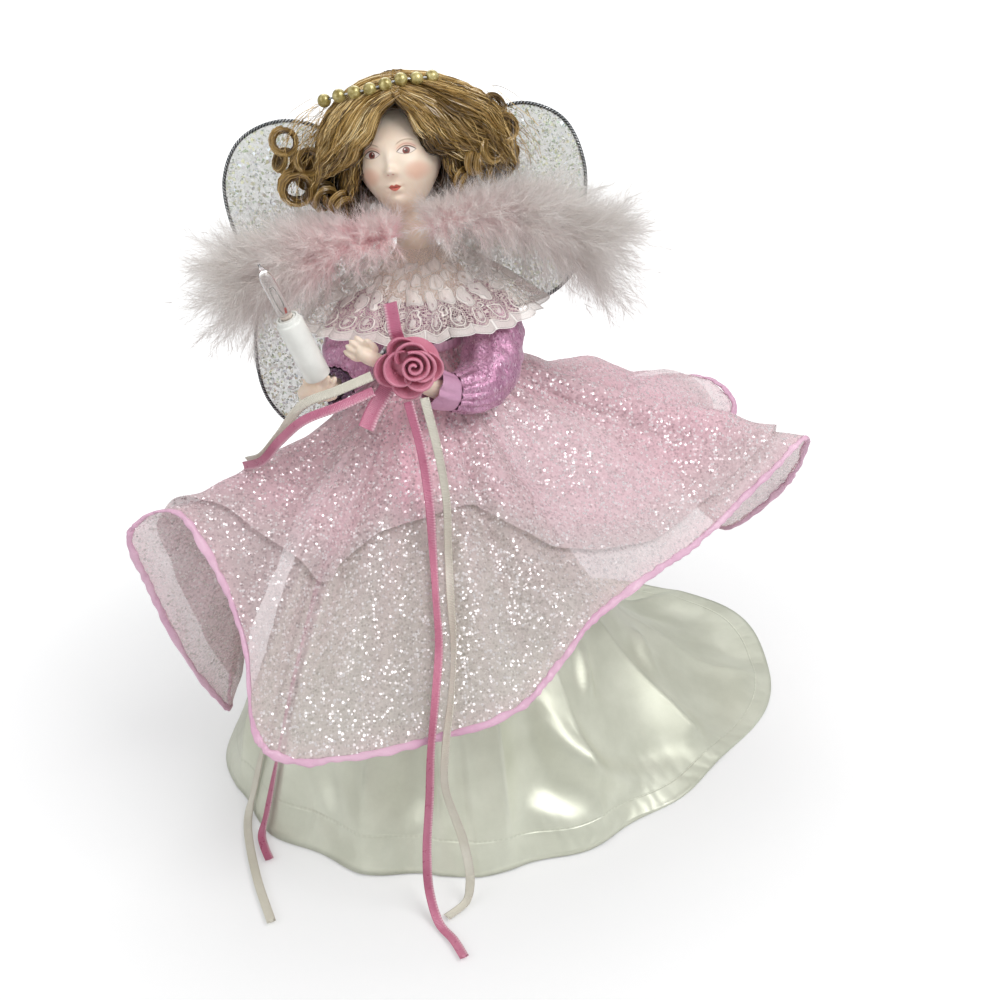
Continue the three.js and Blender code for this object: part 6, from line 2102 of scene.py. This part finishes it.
@dataclass
class Collar:
    """The lace cape and the feather boa over it."""

    shoulder: float = 212.0
    half_span: float = 1.83
    neck: float = 12.0
    neck_height: float = 14.5
    drop: float = 27.0
    reach_front: float = 41.0
    reach_side: float = 48.0
    scallops: int = 16
    barbs: int = 76
    runs: tuple[tuple[str, tuple[Point, ...], float, float, float, float, int], ...] = (
        ("right_inner", BOA_RIGHT, -1.0, 0.0, 0.6, 0.0, 290),
        ("right_outer", BOA_RIGHT, -1.0, 0.45, 1.0, 0.06, 290),
        ("left_inner", BOA_LEFT, 1.0, 0.0, 0.6, 0.18, 290),
        ("left_outer", BOA_LEFT, 1.0, 0.45, 1.0, 0.16, 290),
        ("back", BOA_BACK, 0.0, 0.0, 1.0, 0.25, 120),
    )

    def build(self) -> None:
        """Make the lace and the boa."""
        self._lace()
        self._boa()

    def _lace(self) -> None:
        """Make the lace: a gathered cape with a scalloped edge."""
        columns, rows = 520, 60
        a = np.linspace(-self.half_span, self.half_span, columns)
        t = np.linspace(0, 1, rows)[:, None]
        round_edge = np.abs(np.sin(a / self.half_span * self.scallops * np.pi / 2))
        end = np.maximum(0, np.abs(a) - np.pi / 2) / (self.half_span - np.pi / 2)
        wide = self.reach_front + (self.reach_side - self.reach_front) * np.sin(a) ** 2
        reach = wide + 2.6 * round_edge - 4 * end
        r = self.neck + (reach - self.neck) * t
        z = self.shoulder + self.neck_height - self.drop * t**1.15
        grid = np.stack([r * np.sin(a), -r * np.cos(a), z + 0 * r], -1)
        flute = np.sin(a * 11 + 1.6 * np.sin(a * 4.3))[None] * ease(t, 0.25, 1.0) * 1.3
        flute = flute + 0.7 * ripple(grid, 18, 77) * ease(t, 0.1, 0.5)
        grid = grid - outward(grid, False) * flute[..., None]
        across = (a / self.half_span + 1) / 2 * self.scallops * Finishes.lace.pitch
        along = (1 - t[:, 0]) * 43.0
        lace = Cloth("lace_cape").grid(grid, False, across, along).make(Finishes.lace)
        settle(lace, "root", "lace", "lace_collar")

    def _boa(self) -> None:
        """Make the boa: plumes on a cord, in five pieces."""
        rng = np.random.default_rng(SEED + 1)
        for name, core, side, low, high, pale, plumes in self.runs:
            piece = Cloth(f"boa_plumes_{name}")
            share = rng.uniform(low, high, plumes)
            self._plumes(piece, core, side, share, pale, rng)
            settle(piece.make(Finishes.down), "root", "feather", "feather_boa")

    def _plumes(self, piece: Cloth, core: Sequence[Point], side: float, share: Array, pale: float,
                rng: np.random.Generator) -> None:
        """Set plumes round a cord.

        Args:
            piece: Piece that takes the barbs.
            core: Route of the cord.
            side: -1 or 1 where the plumes lean out to that side.
            share: Places on the cord, one for each plume.
            pale: How much paler the plumes are.
            rng: Source of chance.
        """
        count = len(share)
        roots = through(core, share)
        ahead = tangents(through(core, np.linspace(0, 1, 50)))[(share * 49).astype(int)]
        outer = ease(share, 0.3, 1.0)[:, None]
        spin = unit(rng.normal(size=(count, 3))) + np.array([0, -0.1, 0.8]) * (1 - outer)
        spin = unit(spin - ahead * (spin * ahead).sum(1, keepdims=True))
        lean = -0.35 + 0.8 * ease(share, 0.0, 0.25)[:, None] + 0.75 * outer
        way = unit(spin + np.array([side, 0, 0]) * lean + rng.normal(0, 0.2, (count, 3)))
        length = rng.uniform(10, 16, count) * (0.75 + 0.25 * ease(share, 0.0, 0.3) + 1.1 * outer[:, 0])
        droop = np.array([0, 0, -0.12]) + rng.normal(0, 0.13, (count, 3))
        t = np.linspace(0, 1, 3)
        shape = (count, self.barbs, 1)
        at = rng.uniform(0.0, 1.0, shape) ** 0.9
        spine = roots[:, None] + way[:, None] * (length[:, None, None] * at) + droop[:, None] * (
            length[:, None, None] * at**2)
        heading = unit(way[:, None] + 2 * droop[:, None] * at)
        turn = rng.normal(size=(count, self.barbs, 3))
        turn = unit(turn - heading * (turn * heading).sum(-1, keepdims=True))
        grow = unit(heading + turn * rng.uniform(0.2, 1.1, shape))
        reach = length[:, None, None] * rng.uniform(0.35, 0.75, shape) * (1.15 - 0.6 * at)
        reach = reach * np.where(rng.random(shape) < 0.05, 2.0, 1.0)
        curl = rng.normal(0, 0.16, (count, self.barbs, 3)) + np.array([0, 0, -0.06])
        lines = (spine[:, :, None] + grow[:, :, None] * (reach * t)[..., None]
                 + curl[:, :, None] * (reach * t**2)[..., None]).reshape(-1, 3, 3)
        depth = at * 0.55 + t * 0.25 + 0.4 * outer[:, None] + pale + rng.normal(0, 0.06, shape)
        tone = np.clip(depth, 0, 1).reshape(-1, 3)
        width = np.repeat((0.06 * (1 - 0.75 * t))[None], len(lines), 0)
        piece.strands(lines, width, tone, rng, 2)


@dataclass
class Arm:
    """A sleeve with its cuff, and the porcelain forearm with its hand."""

    side: str
    body: str
    bends: tuple[Point, ...]
    elbow: float
    pointing: Point
    spread: float
    frills: int
    hand: float
    mouth: float = 15.6
    root: float = 7.0
    drop: float = 202.0
    puff: float = 11.5
    opening: float = 7.0

    def line(self) -> Array:
        """Give the middle of the arm at equal steps."""
        sign = -1 if self.side == "right" else 1
        inner = [(sign * self.root, 0, self.drop), (sign * (self.root + self.mouth) / 2, 0, self.drop),
                 (sign * self.mouth, 0, self.drop)]
        return evenly(through([*inner, *self.bends], np.linspace(0, 1, 900)), 1001)

    def build(self) -> None:
        """Make the sleeve, the cuff and the forearm."""
        line = self.line()
        start = int(np.argmax(np.abs(line[:, 0]) >= self.mouth))
        end = int((self.elbow + 0.02) * 1000)
        self._sleeve(line[start:end])
        self._cuff(line[end:end + 90])
        self._forearm(line)

    def _sleeve(self, line: Array) -> None:
        """Make the puffed sleeve, gathered at both ends.

        Args:
            line: Middle of the sleeve.
        """
        rows, sides = 72, 128
        middle = evenly(line, rows)
        t = np.linspace(0, 1, rows)
        swell = np.sin(np.pi * np.minimum(1, t * 1.04)) ** 0.7
        rings = tube(middle, np.ones(rows), sides) - middle[:, None]
        angles = circle(sides)
        tight = 1 - ease(np.minimum(t, 1 - t), 0.02, 0.32)
        gather = tight[:, None] * np.sin(angles * 13 + 1.3 * np.sin(angles * 3))[None] * 0.45
        crease = 0.8 * np.sin(angles * 4 + t[:, None] * 5 + 2 * np.sin(angles * 2)) * swell[:, None]
        slant = 0.5 * np.sin(t[:, None] * 15 + 3 * np.sin(angles)[None]) * swell[:, None]
        radius = self.opening + (self.puff - self.opening) * swell[:, None]
        radius = radius + gather + crease * 0.75 + slant * 0.7
        radius = radius + 0.6 * ripple(middle[:, None] + rings * radius[..., None], 9, 52) * swell[:, None]
        grid = middle[:, None] + rings * radius[..., None]
        sleeve = Cloth(f"{self.side}_sleeve_puff").grid(grid, True).make(Finishes.lame)
        Bench.finish(sleeve, "SOLIDIFY", thickness=CLOTH_THICKNESS * MM, offset=-1.0)
        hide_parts(f"{self.side}_sleeve")
        if self.body == "root":
            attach(sleeve, "root")
        else:
            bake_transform(sleeve)
        LOG.info("%s: %d faces", sleeve.name, len(sleeve.data.polygons))

    def _cuff(self, line: Array) -> None:
        """Make the frilled cuff.

        Args:
            line: Middle of the cuff.
        """
        rows, sides = 20, 180
        middle = evenly(line, rows)
        t = np.linspace(0, 1, rows)[:, None]
        angles = circle(sides)[None]
        frill = np.sin(angles * self.frills + 1.2 * np.sin(angles * 4)) * (0.25 + 0.8 * t)
        slim = self.frills > 9
        wrist, flare, depth = (6.0, 0.3, 0.6) if slim else (6.7, 0.7, 0.5)
        radius = wrist + flare * t + frill * depth
        rings = tube(middle, np.ones(rows), sides) - middle[:, None]
        grid = middle[:, None] + rings * radius[..., None]
        finish = Finishes.cuff if slim else Finishes.lining
        cuff = Cloth(f"{self.side}_cuff_frill").grid(grid, True).make(finish)
        Bench.finish(cuff, "SOLIDIFY", thickness=CLOTH_THICKNESS * MM, offset=0.0)
        settle(cuff, self.body, "mauve_lame", f"{self.side}_cuff")

    def _forearm(self, line: Array) -> None:
        """Make the forearm with a half-closed hand.

        Args:
            line: Middle of the whole arm.
        """
        balls: list[tuple[Point, Point, Point]] = []
        start = int(self.elbow * 1000) + 8
        for k in range(start, 1000, 8):
            share = (k - start) / (1000 - start)
            thick = 4.1 - 1.2 * share
            balls.append((tuple(line[k]), (thick, thick, thick), (0.0, 0.0, 1.0)))
        turn = Vector((0, 0, 1)).rotation_difference(Vector(self.pointing).normalized())
        wrist = Vector(line[-1])

        def lump(spot: Point, radii: Point, way: Point = (0.0, 0.0, 1.0)) -> None:
            """Add an egg shape in the frame of the hand."""
            centre = turn @ Vector(spot) * self.hand + wrist
            balls.append((tuple(centre), tuple(r * self.hand for r in radii), tuple(turn @ Vector(way))))

        lump((0, 0, 4.2), (4.4, 3.0, 5.4))
        for k, curl in ((-1.5, 0.2), (-0.5, 0.0), (0.5, 0.05), (1.5, 0.3)):
            bend = self.spread * (0.5 + curl)
            lump((k * 2.15, bend * 0.4, 8.6 - abs(k) * 0.4), (1.15, 1.2, 2.6), (k * 0.06, 0.15, 1.0))
            lump((k * 2.2, bend, 11.6 - abs(k) * 0.8), (1.0, 1.05, 2.2), (k * 0.03, 0.45, 1.0))
        lump((4.2, -self.spread * 0.6, 5.0), (1.3, 1.3, 2.8), (0.5, -0.2, 1.0))
        lump((5.0, -self.spread * 0.8, 7.8), (1.05, 1.05, 2.0), (0.1, -0.1, 1.0))
        arm = Bench.lumps(f"{self.side}_forearm_porcelain", balls, 0.42, 5, Finishes.bisque)
        settle(arm, self.body, "porcelain", f"{self.side}_forearm")


@dataclass
class Candle:
    """The candle tube, its socket and the mini lamp with its leads."""

    foot: Point = (-40.2, -55.2, 195.0)
    axis: Point = (-0.28509, -0.20364, 0.93673)
    length: float = 24.5
    radius: float = 4.9
    rim: float = 4.1
    rim_height: float = 1.6
    bore: float = 3.3
    floor: float = 1.6
    lamp: float = 2.5
    barrel: float = 15.0
    tip: float = 6.0

    def place(self) -> Matrix:
        """Give the candle's frame, from its foot up its axis."""
        turn = Vector((0, 0, 1)).rotation_difference(Vector(self.axis)).to_matrix().to_4x4()
        return Matrix.Translation(Vector(self.foot) * MM) @ turn

    def build(self) -> None:
        """Make the four pieces."""
        place, top = self.place(), self.length + self.rim_height
        tube_profile = [(0, 0), (self.radius, 0), (self.radius, self.length - 0.5),
                        (self.radius - 0.5, self.length), (self.rim, self.length), (self.rim, top),
                        (self.bore, top), (self.bore, self.floor), (0, self.floor)]
        candle = Bench.turned("candle_tube_white", tube_profile, place, Finishes.plastic, 64, 0.22)
        settle(candle, "right_arm", "white_plastic", "candle_tube")
        socket = self.bore - 0.3
        holder_profile = [(0, self.floor + 0.3), (socket, self.floor + 0.3), (socket, top - 0.1),
                          (socket - 0.8, top - 0.1), (socket - 0.8, top - 8.3), (0, top - 8.3)]
        holder = Bench.turned("lamp_holder_white", holder_profile, place, Finishes.plastic, 48, 0.1)
        settle(holder, "right_arm", "white_plastic", "lamp_socket")
        stem = socket - 1.1
        foot = top + 0.3
        base_profile = [(0, top - 8.0), (stem, top - 8.0), (stem, foot), (self.lamp - 0.2, foot),
                        (self.lamp - 0.2, foot + 1.1), (0, foot + 1.2)]
        base = Bench.turned("lamp_base_pale", base_profile, place, Finishes.lamp_base, 40, 0.12)
        settle(base, "bulb", "bulb_base", "bulb_base")
        low = foot + 1.5
        high = low + self.barrel
        wall = self.lamp - 0.32
        glass_profile = [(0, high + self.tip), (0.35, high + self.tip - 0.5), (0.62, high + self.tip * 0.66),
                         (self.lamp * 0.66, high + self.tip * 0.3), (self.lamp * 0.93, high + 0.4),
                         (self.lamp, high - 1), (self.lamp, low), (wall, low), (wall, high - 1),
                         (wall * 0.9, high + 0.2), (self.lamp * 0.5, high + self.tip * 0.3),
                         (0, high + self.tip * 0.5)]
        glass = Bench.turned("lamp_glass_clear", glass_profile, place, Finishes.glass, 40, 0.08)
        settle(glass, "bulb", "clear_glass", "bulb_glass")
        self._leads(place, foot + 1.5)

    @staticmethod
    def _leads(place: Matrix, low: float) -> None:
        """Make the two leads with the filament between them.

        Args:
            place: Frame of the candle.
            low: Height at which the leads start.
        """
        spread, length = 0.95, 11.0
        route = ((-0.5, 0, low), (-spread, 0, low + 2.5), (-spread, 0, low + length * 0.85),
                 (-spread * 0.7, 0, low + length))
        mirrored = [(-x, y, z) for x, y, z in route]
        leads = Cloth("lamp_leads_wire")
        turn = np.array(place)
        shares = np.linspace(0, 1, 40)
        coil = np.linspace(0, 1, 160)
        filament = np.stack([(coil - 0.5) * spread * 1.4, 0.16 * np.cos(coil * 88),
                             low + length + 0.16 * np.sin(coil * 88)], 1)
        for line, radius in ((through(route, shares), 0.17), (through(mirrored, shares), 0.17),
                             (filament, 0.05)):
            world = line @ turn[:3, :3].T + turn[:3, 3] / MM
            leads.rod(tube(world, np.full(len(world), radius), 6))
        settle(leads.make(Finishes.wire), "bulb", "armature_wire", "bulb_leads")
        sleeve = through(mirrored, np.linspace(0.02, 0.3, 16)) @ turn[:3, :3].T + turn[:3, 3] / MM
        piece = Cloth("lead_sleeve_red").rod(tube(sleeve, np.full(16, 0.42), 10))
        settle(piece.make(Finishes.red_sleeve), "bulb", "bulb_base")


@dataclass
class Wing:
    """One butterfly wing: a wound wire loop with a crackled film in it."""

    side: str
    lobes: tuple[tuple[float, float], ...]
    pole: tuple[float, float]
    shoulder: float = 212.0
    setback: float = 21.0
    root: float = 3.5
    root_top: float = 2.0
    root_foot: float = -24.0
    casing: float = 9.5
    flakes: int = 5200
    flake: float = 0.34

    def outline(self, count: int) -> Array:
        """Give the loop of the wire at equal steps, from the top of the root round the lobes and back."""
        sign = 1 if self.side == "left" else -1
        flat = [(x, self.setback, z + self.shoulder) for x, z in self.lobes]
        top = (sign * self.root, self.setback, self.shoulder + self.root_top)
        foot = (sign * self.root, self.setback, self.shoulder + self.root_foot)
        edge = through([top, *flat, foot], np.linspace(0, 1, 900))
        back = np.linspace(edge[-1], edge[0], 80)[1:]
        return evenly(np.concatenate([edge, back]), count)

    def build(self) -> None:
        """Make the wound wire and the film."""
        body = f"{self.side}_wing"
        loop = self.outline(860)
        ahead = tangents(loop)
        out = np.repeat(np.array([[0.0, 1.0, 0.0]]), len(loop), 0)
        side = unit(np.cross(ahead, out))
        length = np.concatenate([[0], np.cumsum(np.linalg.norm(np.diff(loop, axis=0), axis=1))])
        core = Cloth(f"{body}_wire_silver")
        core.rod(tube(loop, np.full(len(loop), 0.56), 8), length)
        for phase in (0.0, math.pi):
            turn = length * (2 * math.pi / 2.6) + phase
            coil = loop + side * (0.52 * np.cos(turn))[:, None] + out * (0.52 * np.sin(turn))[:, None]
            core.rod(tube(coil, np.full(len(loop), 0.28), 5), length)
        settle(core.make(Finishes.silver), body, "wing_wire", f"{body}_frame")
        dark = Cloth(f"{body}_wire_dark")
        for phase in (math.pi / 2, 3 * math.pi / 2):
            turn = length * (2 * math.pi / 2.6) + phase
            coil = loop + side * (0.52 * np.cos(turn))[:, None] + out * (0.52 * np.sin(turn))[:, None]
            dark.rod(tube(coil, np.full(len(loop), 0.26), 5), length)
        settle(dark.make(Finishes.black), body, "wing_wire", f"{body}_frame")
        self._film(body)

    def _film(self, body: str) -> None:
        """Make the film, stretched over the loop with fine puckers.

        Args:
            body: Body of the wing.
        """
        loop = self.outline(320)[:-1]
        sign = 1 if self.side == "left" else -1
        loop[:, 0] = sign * np.maximum(sign * loop[:, 0], self.casing)
        pole = np.array([self.pole[0], self.setback, self.shoulder + self.pole[1]])
        shares = np.linspace(0.004, 1, 46)[:, None, None]
        grid = pole + (loop[None] - pole) * shares
        flat = grid * np.array([1, 0, 1.0])
        pucker = ripple(flat, 9, 90) * 0.22 + ripple(flat, 30, 91) * 0.5
        calm = np.sin(np.pi * np.clip(shares[..., 0], 0, 1)) ** 0.5
        grid[..., 1] += pucker * calm
        film = Cloth(f"{body}_film_silver").grid(grid, True).make(Finishes.film)
        settle(film, body, "wing_film", f"{body}_film")
        settle(strew(f"{body}_film_glitter", grid, self.flakes, self.flake, Finishes.film_glitter),
               body, "wing_film")
        x, z = loop[:, 0], loop[:, 2]
        area = 0.5 * abs(np.sum(x * np.roll(z, -1) - z * np.roll(x, -1))) * MM * MM


@dataclass
class Rose:
    """The ribbon rose with its loop and stub."""

    centre: Point = (-8.0, -54.0, 196.0)
    eye: Point = (-5.1, -54.0, 197.0)
    turns: float = 2.2
    pitch: float = 1.9
    core: float = 0.7
    depth: float = 9.0
    height: float = 10.9
    petals: tuple[tuple[float, float, float, float, float], ...] = (
        (-1.6, 1.5, 6.4, 8.2, 0.7),
        (0.6, 3.0, 7.2, 7.6, 1.5),
        (2.0, 4.5, 8.0, 7.8, 2.2),
        (4.0, 6.1, 7.4, 7.0, 1.6),
        (1.4, 2.9, 9.4, 6.2, 2.2),
        (2.5, 4.1, 11.2, 5.6, 2.6),
        (3.5, 5.2, 10.4, 5.4, 2.2),
        (5.0, 6.9, 8.6, 5.0, 1.4),
    )
    ribbons: Ribbons = field(default_factory=Ribbons)

    def build(self) -> None:
        """Make the rose, its loop and its stub."""
        self._winding()
        loop = ((-2, -3, self.height), (-2.6, -3.5, self.height + 3), (-3, -1, self.height + 7),
                (-3.5, 3, self.height + 11.5))
        stub = ((-6.5, -1.5, -6.5), (-10, -3.0, -11), (-13.5, -4.8, -15.5), (-16.8, -8, -20.8))
        for name, route, width in (("bow_loop", loop, 5.0), ("bow_stub", stub, 6.0)):
            line = evenly(through(np.asarray(route) + np.asarray(self.centre), np.linspace(0, 1, 200)), 60)
            rings, along = self.ribbons.rings(line, (-0.1, -1.0, 0.25), 31, width)
            piece = Cloth(f"{name}_satin").rod(rings, along).make(Finishes.pink_ribbon)
            settle(piece, "root", "pink_satin", name)

    def _winding(self) -> None:
        """Wind the ribbon to a tight eye and fold petals round it."""
        rose = Cloth("ribbon_rose_satin")
        turn = np.linspace(0, 2 * np.pi * self.turns, 420)
        r = self.core + self.pitch * turn / (2 * np.pi)
        front = -self.depth + 0.22 * r + 0.3 * np.sin(turn * 3.1) * ease(r, 2, 6)
        self._wall(rose, turn + 0.6, r, front, 0.12 * r)
        around = circle(48)
        spread = np.linspace(0.1, 9.6, 12)[:, None]
        heart = np.stack([spread * np.cos(around), -4.6 + 0.3 * spread + 0 * around,
                          spread * np.sin(around)], -1)
        rose.grid(heart + np.asarray(self.eye), True)
        for first, last, radius, deep, lean in self.petals:
            turn = np.linspace(first, last, 120)
            bulge = np.sin(np.pi * np.linspace(0, 1, 120)) ** 0.6
            r = radius * (0.7 + 0.3 * bulge**2)
            front = -deep * (0.7 + 0.3 * bulge) - 0.3 * np.sin(turn * 4.0)
            self._wall(rose, turn, r, front, lean * bulge)
        settle(rose.make(Finishes.rose), "root", "pink_satin", "ribbon_rose")

    def _wall(self, rose: Cloth, turn: Array, radius: Array, front: Array, lean: Array) -> None:
        """Stand a strip of ribbon up on a curve, with its rim rolled out.

        Args:
            rose: Piece that takes the strip.
            turn: Angle at each step.
            radius: Distance from the eye.
            front: How far forward the rim is.
            lean: How far the rim leans out.
        """
        out = np.stack([np.cos(turn), np.zeros_like(turn), np.sin(turn)], 1)
        share = np.linspace(0, 1, 13)
        roll = 0.55 * np.exp(-(((share[None] - 1) / 0.16) ** 2)) * ease(radius, 2, 5)[:, None]
        sheet = out[:, None] * (radius[:, None] + lean[:, None] * share[None] ** 1.6 + roll)[..., None]
        sheet[..., 1] = share[None] * front[:, None]
        thick = 0.55
        outer = sheet + out[:, None] * thick
        inner = sheet - out[:, None] * thick
        lip = (outer[:, -1:] + inner[:, -1:]) / 2 + np.array([0, -thick, 0])
        rings = np.concatenate([inner, lip, outer[:, ::-1]], 1) + np.asarray(self.eye)
        along = np.concatenate([[0], np.cumsum(np.linalg.norm(np.diff(sheet[:, -1], axis=0), axis=1))])
        rose.rod(rings, along)


def dress_frame() -> None:
    """Give the nodes that stay in view their own finishes."""
    kept: dict[str, Finish] = {
        "tree_cone": Finishes.card,
        "left_arm_wire": Finishes.wire,
        "right_arm_wire": Finishes.wire,
    }
    for name, finish in kept.items():
        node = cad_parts[name]
        node.data.materials.clear()
        node.data.materials.append(finish.material())
        LOG.info("%s: finished as %s", name, finish.name)


def write_sizes() -> None:
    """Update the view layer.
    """
    bpy.context.view_layer.update()


def main() -> None:
    """Build the studio and the figure, piece by piece."""
    logging.basicConfig(level=logging.INFO, format="%(name)s: %(message)s")
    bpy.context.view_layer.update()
    head = Head()
    figure = (
        Studio(),
        Ribbons(),
        Skirts(),
        Body(),
        head,
        Hair(head),
        Beads(),
        Collar(),
        Arm("left", "root", ((26, -10, 196), (21, -31, 178), (8, -41, 178), (-18, -49.5, 196)), 0.66,
            (-0.75, -0.2, 0.63), 1.0, 7, 1.05),
        Arm("right", "right_arm", ((-26, -9, 196), (-34, -20, 180), (-42, -34, 180), (-45.5, -47, 185)), 0.6,
            (0.45, -0.72, 0.53), 2.0, 13, 1.3),
        Candle(),
        Wing("right",
             ((-10, 24), (-26, 52), (-46, 60.5), (-64, 55), (-73, 40), (-72, 18), (-64, -3), (-69, -19),
              (-71.5, -36), (-69, -54), (-60, -65.5), (-44, -60), (-20, -40)), (-36.0, 0.0)),
        Wing("left",
             ((10, 24), (26, 52), (45, 60), (62, 53), (70, 35), (69, 13), (66, -6), (56, -17), (38, -23),
              (18, -27)), (36.0, 14.0)),
        Rose(),
    )
    for part in figure:
        part.build()
        LOG.info("%s built", type(part).__name__)
    dress_frame()
    write_sizes()


if __name__ == "__main__":
    main()
